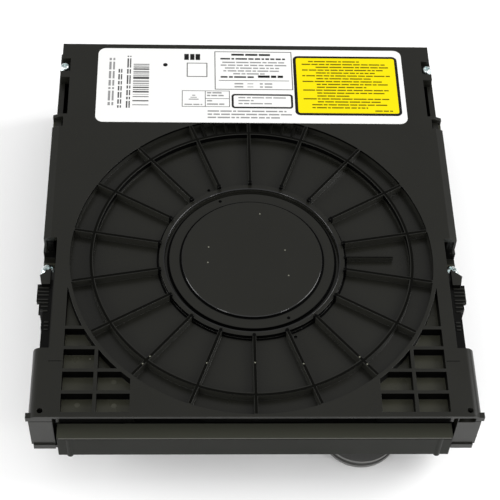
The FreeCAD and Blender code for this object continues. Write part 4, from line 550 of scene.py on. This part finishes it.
def outline(x0, x1, y0, y1, width):
    """The four sides of a thin printed frame."""
    return [
        (x0, x1, y0, y0 + width),
        (x0, x1, y1 - width, y1),
        (x0, x0 + width, y0 + width, y1 - width),
        (x1 - width, x1, y0 + width, y1 - width),
    ]


def dashes(x0, x1, y, height, seed, gap=0.5):
    """A printed line of dashes of uneven length, as small print looks from a step away."""
    fields = []
    x = x0
    turn = seed
    while x < x1 - 0.6:
        turn = (turn * 37 + 11) % 101
        end = min(x + 1.0 + turn / 101 * 4.2, x1)
        fields.append((x, end, y - height / 2, y + height / 2))
        x = end + gap
    return fields


def dash_rows(rows, top, pitch, height, first_seed, gap=0.5):
    """Lines of dashes under each other, each given as its start and end."""
    fields = []
    for row, (start, end) in enumerate(rows):
        fields += dashes(start, end, top - row * pitch, height, first_seed + row, gap)
    return fields


def label_print():
    """The label's print as fields of colour, frames, bars and dashes."""
    rounded_field("label_border", 18.0, 58.9, 65.5, 96.3, 2.0, PRINT_BLACK)
    rounded_field("label_yellow", 19.2, 57.8, 66.7, 95.2, 0.9, PRINT_YELLOW, layer=1)
    small = dash_rows(YELLOW_ROWS, 93.4, 1.5, 0.62, 3, gap=0.42)
    print_piece("label_yellow_lines", small, PRINT_OLIVE, layer=2)
    rounded_field("label_strip", -6.2, 17.3, 68.8, 76.1, 1.2, PRINT_BLACK)
    rounded_field("label_strip_inside", -5.4, 16.5, 69.6, 75.3, 0.6, MATERIALS["label_film"], layer=1)
    frames = outline(-12.6, 17.6, 78.3, 98.4, 0.34)
    frames += [(-11.0, 16.2, 82.9, 83.2)]
    frames += outline(-23.4, -15.4, 84.8, 92.2, 0.36)
    frames += outline(-25.2, -6.9, 69.4, 77.7, 0.26)
    frames += [(-16.4, -16.14, 69.4, 77.7), (-16.4, -6.9, 73.5, 73.76)]
    print_piece("label_frames", frames, PRINT_GREY)
    dark = dashes(-6.0, 10.0, 96.7, 1.0, 5) + dashes(-10.3, 15.0, 94.5, 0.8, 7)
    dark += dashes(-10.3, 3.2, 84.9, 0.8, 9) + dashes(4.2, 14.8, 85.2, 1.2, 2)
    dark += [(-24.4, -22.6, 93.7, 96.9), (-22.1, -20.4, 93.7, 96.9), (-20.0, -18.2, 93.7, 96.9)]
    print_piece("label_dark_lines", dark, PRINT_BLACK)
    strip_rows = dash_rows(((-3.6, 14.6), (-3.6, 2.2), (-3.6, 10.0)), 74.2, 1.5, 0.6, 9)
    print_piece("label_strip_lines", strip_rows, PRINT_PALE, layer=2)
    lines = dash_rows(FRAME_ROWS, 92.6, 1.5, 0.66, 5)
    for y in (81.4, 79.8):
        lines += dashes(-5.0, -1.4, y, 0.7, 4, 0.7) + dashes(0.0, 3.0, y, 0.4, 6, 0.7)
        lines += dashes(4.8, 9.6, y, 0.7, 8, 0.7)
    for y, end in ((76.6, -10.0), (75.2, -9.2), (72.5, -13.0), (70.8, -9.0)):
        lines += dashes(-15.6, end, y, 0.7, int(y * 2), 0.4)
    lines += dash_rows(((-15.4, 14.6), (-15.4, 16.6), (-15.4, 12.0)), 67.3, 1.6, 0.7, 21)
    lines += [(-22.6, -18.8, 73.0, 73.5), (-21.9, -19.5, 74.0, 74.4), (-21.3, -20.1, 75.0, 75.5)]
    lines += dashes(-24.2, -17.4, 70.6, 0.6, 31, 0.4)
    print_piece("label_lines", lines, PRINT_PALE)
    for name, x, width, low, high, ink in SIDE_PRINT:
        marks = dashes(low, high, 0, 1, int(-x), 0.75)
        halves = ((x - width / 2, x - width / 10), (x + width / 6, x + width / 2))
        print_piece(name, [(x0, x1, y0, y1) for y0, y1, _, _ in marks for x0, x1 in halves], ink)
    for name, ink, bars in LABEL_BARS:
        print_piece(name, [(-44.0, -37.9, y - thick, y) for y, thick in bars], ink)
    dot = spot_forms([(-31.7, 91.0, LABEL_TOP)], 0.9, PRINT_THICK, 24)
    add_piece("label_dot", dot, PRINT_BLACK, "chassis")


label_print()


# The cover's screws


BETWEEN_ROWS = 50.0
HEAD_FLAT = 0.30
RIM_HEIGHT = 0.2
DOME_STEP = math.radians(15)
CROSS_SIZE = (1.15, 0.3, 0.9)
CROSS_ANGLES = (math.radians(20), math.radians(110))


def screw_groups():
    """The corners of the four cover screws of the frame, one group per screw."""
    groups = {}
    for corner in NODES["cover_screws"].data.vertices:
        screw = (corner.co.x > 0, corner.co.y > BETWEEN_ROWS * MM)
        groups.setdefault(screw, []).append(corner.co.copy())
    return groups


def turned_form(middle, profile, steps=40):
    """A closed turned form: profile holds radius and height pairs from the top of the axis to its foot."""
    builder = bmesh.new()
    rings = []
    for radius, height in profile:
        ring = []
        for step in range(steps):
            angle = 2 * math.pi * step / steps
            corner = Vector((radius * math.cos(angle), radius * math.sin(angle), height))
            ring.append(builder.verts.new(middle + corner))
        rings.append(ring)
    for upper, lower in zip(rings, rings[1:]):
        for step in range(steps):
            after = (step + 1) % steps
            builder.faces.new((upper[step], lower[step], lower[after], upper[after]))
    builder.faces.new(rings[0])
    builder.faces.new(list(reversed(rings[-1])))
    bmesh.ops.recalc_face_normals(builder, faces=builder.faces)
    return builder


def cross_recess(target, middle, radius, top):
    """Cuts the cross for the driver into the head of one screw."""
    builder = bmesh.new()
    place = Matrix.Translation((middle.x, middle.y, top))
    size = Matrix.Diagonal((*[radius * part for part in CROSS_SIZE], 1.0))
    for angle in CROSS_ANGLES:
        bmesh.ops.create_cube(builder, size=1.0, matrix=place @ Matrix.Rotation(angle, 4, "Z") @ size)
    cutter = bpy.data.objects.new("recess_cut", mesh_of("recess_cut", builder))
    bpy.context.scene.collection.objects.link(cutter)
    change = target.modifiers.new("recess", "BOOLEAN")
    change.operation = "DIFFERENCE"
    change.solver = "EXACT"
    change.use_self = True
    change.object = cutter
    bpy.context.view_layer.update()
    shown = target.evaluated_get(bpy.context.evaluated_depsgraph_get())
    finished = bpy.data.meshes.new_from_object(shown)
    target.modifiers.remove(change)
    target.data = finished
    bpy.data.objects.remove(cutter)


def cover_screws():
    """Four pan-head screws with a rounded head, a thin washer face and a cross recess."""
    for (right, back), corners in screw_groups().items():
        low = min(corner.z for corner in corners)
        top = max(corner.z for corner in corners)
        head = [corner for corner in corners if corner.z > top - 0.1 * MM]
        middle = sum(head, Vector()) / len(head)
        middle.z = 0.0
        reach = max((corner.xy - middle.xy).length for corner in corners)
        seat = min(corner.z for corner in corners if (corner.xy - middle.xy).length > reach * 0.95)
        shank = max((corner.xy - middle.xy).length for corner in corners if corner.z < seat - 0.2 * MM)
        high = top - seat
        profile = [(reach * HEAD_FLAT, top)]
        for step in range(1, 7):
            across, up = math.sin(step * DOME_STEP), math.cos(step * DOME_STEP)
            profile.append((reach * (0.45 + 0.5 * across), seat + high * (0.25 + 0.72 * up)))
        profile += [(reach, seat + high * RIM_HEIGHT), (reach, seat), (shank, seat), (shank, low)]
        name = f"cover_screw_{'back' if back else 'front'}_{'right' if right else 'left'}"
        form = turned_form(middle, profile)
        piece = add_piece(name, form, MATERIALS["zinc_screw"], "chassis")
        cross_recess(piece, middle, reach, top)
        if not right and not back:
            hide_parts("cover_screws")


cover_screws()


# Fine details of the cover, the tray's front and the chassis


RIB_TOP = 40.0
BOSS_TOP = 38.6
SHELF_TOP = 37.7
POCKET_FLOOR = 36.0
# Pale spots: those on the rib tops and on the pocket floor are painted glints, those on the boss are pale
# specks.
SPECKS_AND_PAINTED_GLINTS = (
    polar(58.4, 230, RIB_TOP), polar(54.7, 230, RIB_TOP), polar(47.3, 250, RIB_TOP),
    polar(44.3, 270, RIB_TOP), (3.3, 19.4, BOSS_TOP), (12.7, -7.7, BOSS_TOP), (-15.3, 4.5, BOSS_TOP),
    (-15.6, -2.2, BOSS_TOP), (11.8, 3.3, BOSS_TOP), polar(47.6, 290, RIB_TOP),
    polar(54.9, 310, RIB_TOP), polar(58.6, 310, RIB_TOP), (-55.4, -40.5, POCKET_FLOOR),
)
POCKET_MARKS = ((-46.8, -58.6, POCKET_FLOOR), (-58.9, -58.3, POCKET_FLOOR), (-47.1, -49.5, POCKET_FLOOR))
# Painted shadows of small pin holes in the shelf.
SHELF_PINS = ((-11.0, 25.7, SHELF_TOP), (12.1, -24.9, SHELF_TOP))


def cover_details():
    """Rounded edges of the cover's middle, darkened as painted shade; round marks in its pockets; painted
    shadows of pin holes on its shelf; and pale spots, those on the rib tops and the pocket floor painted
    glints.
    """
    # The rounded edge rings are real forms that catch the lamps; their near-black colour, darker than the
    # cover, is painted shade.
    glossy_shaded_edge = surface("glossy_edge_painted_shade", (0.003, 0.003, 0.003), 0.1, edge=0.0, gloss=0.5)
    speck_and_glint = surface("speck_and_glint", (0.13, 0.13, 0.10), 0.4, edge=0.0)
    pale = surface("pocket_mark", (0.05, 0.05, 0.035), 0.4, edge=0.0)
    deep = surface("pin_shadow", (0.001, 0.001, 0.001), 0.6, edge=0.0, gloss=0.02)
    for name, form, material in (
        ("boss_edge_round", ring_form(24.5, 0.5, BOSS_TOP - 0.5), glossy_shaded_edge),
        ("bead_edge_round", ring_form(31.2, 0.35, BOSS_TOP - 0.3), glossy_shaded_edge),
        ("pocket_marks", spot_forms(POCKET_MARKS, 0.9), pale),
        ("shelf_pins", spot_forms(SHELF_PINS, 0.6), deep),
        ("cover_specks_and_glints", spot_forms(SPECKS_AND_PAINTED_GLINTS, 0.28), speck_and_glint),
    ):
        add_piece(name, form, material, "chassis")


PANEL_HALF = 64.9


def panel_details():
    """The fine step of the tray's front as a near-black strip of painted shade, and its rounded upper
    edge, paler as a painted highlight.
    """
    box_low, box_high = (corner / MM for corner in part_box("tray"))
    front, top = box_low.y, box_high.z
    shade = surface("panel_shade", (0.002, 0.002, 0.002), 0.6, edge=0.0, gloss=0.05)
    painted_highlight = surface("panel_painted_highlight", (0.045, 0.045, 0.036), 0.25, edge=0.0)
    # Painted shade for the fine step, and a painted highlight on the rounded upper edge.
    step = box_forms([(-PANEL_HALF, PANEL_HALF, front - 0.02, front + 0.2, top - 0.75, top - 0.45)])
    edge = rod_form(-PANEL_HALF, PANEL_HALF, front + 0.22, top - 0.2, 0.25)
    add_piece("panel_step", step, shade, "tray")
    add_piece("panel_edge", edge, painted_highlight, "tray")


SIDE_COMB = (
    (74.7, 70.8, (-11.6, -13.2, -14.6, -16.5, -17.8)),
    (73.2, 70.8, (-19.4, -21.2)),
    (71.7, 70.2, (-25.8, -27.3, -28.8)),
)
COMB_LOW = 35.9
COMB_HIGH = 36.35
COMB_HALF = 0.24


def side_combs():
    """Fine upright ribs along the hooks at both sides of the chassis."""
    bars = []
    for sign in (-1, 1):
        for outer, inner, places in SIDE_COMB:
            near, far = sorted((sign * inner, sign * outer))
            bars += [(near, far, y - COMB_HALF, y + COMB_HALF, COMB_LOW, COMB_HIGH) for y in places]
    add_piece("side_combs", box_forms(bars), MATERIALS["black_plastic"], "chassis")


cover_details()
panel_details()
side_combs()


# Camera, floor and light


def set_camera():
    """A long lens that looks down on the part from the front, about 54 degrees over the floor."""
    data = bpy.data.cameras.new("camera")
    data.sensor_width = 36.0
    data.lens = 103.83
    data.clip_start = 0.01
    data.clip_end = 20.0
    camera = bpy.data.objects.new("camera", data)
    bpy.context.scene.collection.objects.link(camera)
    camera.matrix_world = Matrix((
        (0.99909145, -0.00401121, -0.04242867, -0.022342),
        (-0.02169807, 0.80899236, -0.58741855, -0.297268),
        (0.03668072, 0.58780547, 0.80817031, 0.452087),
        (0.0, 0.0, 0.0, 1.0),
    ))
    bpy.context.scene.camera = camera


def set_floor():
    """A wide white floor just under the part."""
    builder = bmesh.new()
    bmesh.ops.create_grid(builder, x_segments=1, y_segments=1, size=3.0)
    mesh = mesh_of("floor", builder)
    white = bpy.data.materials.new("floor_white")
    white.use_nodes = True
    shader = white.node_tree.nodes["Principled BSDF"]
    shader.inputs["Base Color"].default_value = (0.94, 0.94, 0.94, 1.0)
    shader.inputs["Roughness"].default_value = 0.9
    shader.inputs["Specular IOR Level"].default_value = 0.0
    mesh.materials.append(white)
    floor = bpy.data.objects.new("floor", mesh)
    floor.location = (0, 0, -0.0002)
    bpy.context.scene.collection.objects.link(floor)


def soft_light(name, place, aim, side, watts):
    """A square area light that faces a point."""
    data = bpy.data.lights.new(name, "AREA")
    data.shape = "RECTANGLE"
    data.size = data.size_y = side
    data.energy = watts
    lamp = bpy.data.objects.new(name, data)
    lamp.location = place
    direction = Vector(aim) - Vector(place)
    lamp.rotation_euler = direction.to_track_quat("-Z", "Y").to_euler()
    bpy.context.scene.collection.objects.link(lamp)


def set_light():
    """A pale sky, brighter to the front and plain white to the camera, and four soft lights."""
    world = bpy.data.worlds.new("world")
    bpy.context.scene.world = world
    world.use_nodes = True
    tree = world.node_tree
    sky = tree.nodes["Background"]
    sky.inputs["Strength"].default_value = 1.0
    place = tree.nodes.new("ShaderNodeTexCoord")
    parts = tree.nodes.new("ShaderNodeSeparateXYZ")
    link(tree, place.outputs["Generated"], parts.inputs["Vector"])
    brightness = range_node(tree, parts.outputs["Y"], 0.55, -0.7, 0.55, 1.15)
    path = tree.nodes.new("ShaderNodeLightPath")
    seen = tree.nodes.new("ShaderNodeMix")
    seen.data_type = "FLOAT"
    link(tree, path.outputs["Is Camera Ray"], seen.inputs["Factor"])
    link(tree, brightness, seen.inputs["A"])
    seen.inputs["B"].default_value = 1.0
    link(tree, seen.outputs["Result"], sky.inputs["Color"])
    soft_light("key", (0.65, 0.10, 0.60), (0, 0, 0.02), 0.45, 4.4)
    soft_light("fill", (-0.53, -0.63, 0.53), (0, -0.02, 0.02), 0.22, 1.55)
    soft_light("glint", (0.60, -0.60, 0.50), (0, 0, 0.03), 0.14, 1.0)
    soft_light("side", (-0.80, 0.0, 0.36), (0, 0, 0.02), 0.4, 2.8)


set_camera()
set_floor()
set_light()

bpy.context.scene.view_settings.view_transform = "Standard"
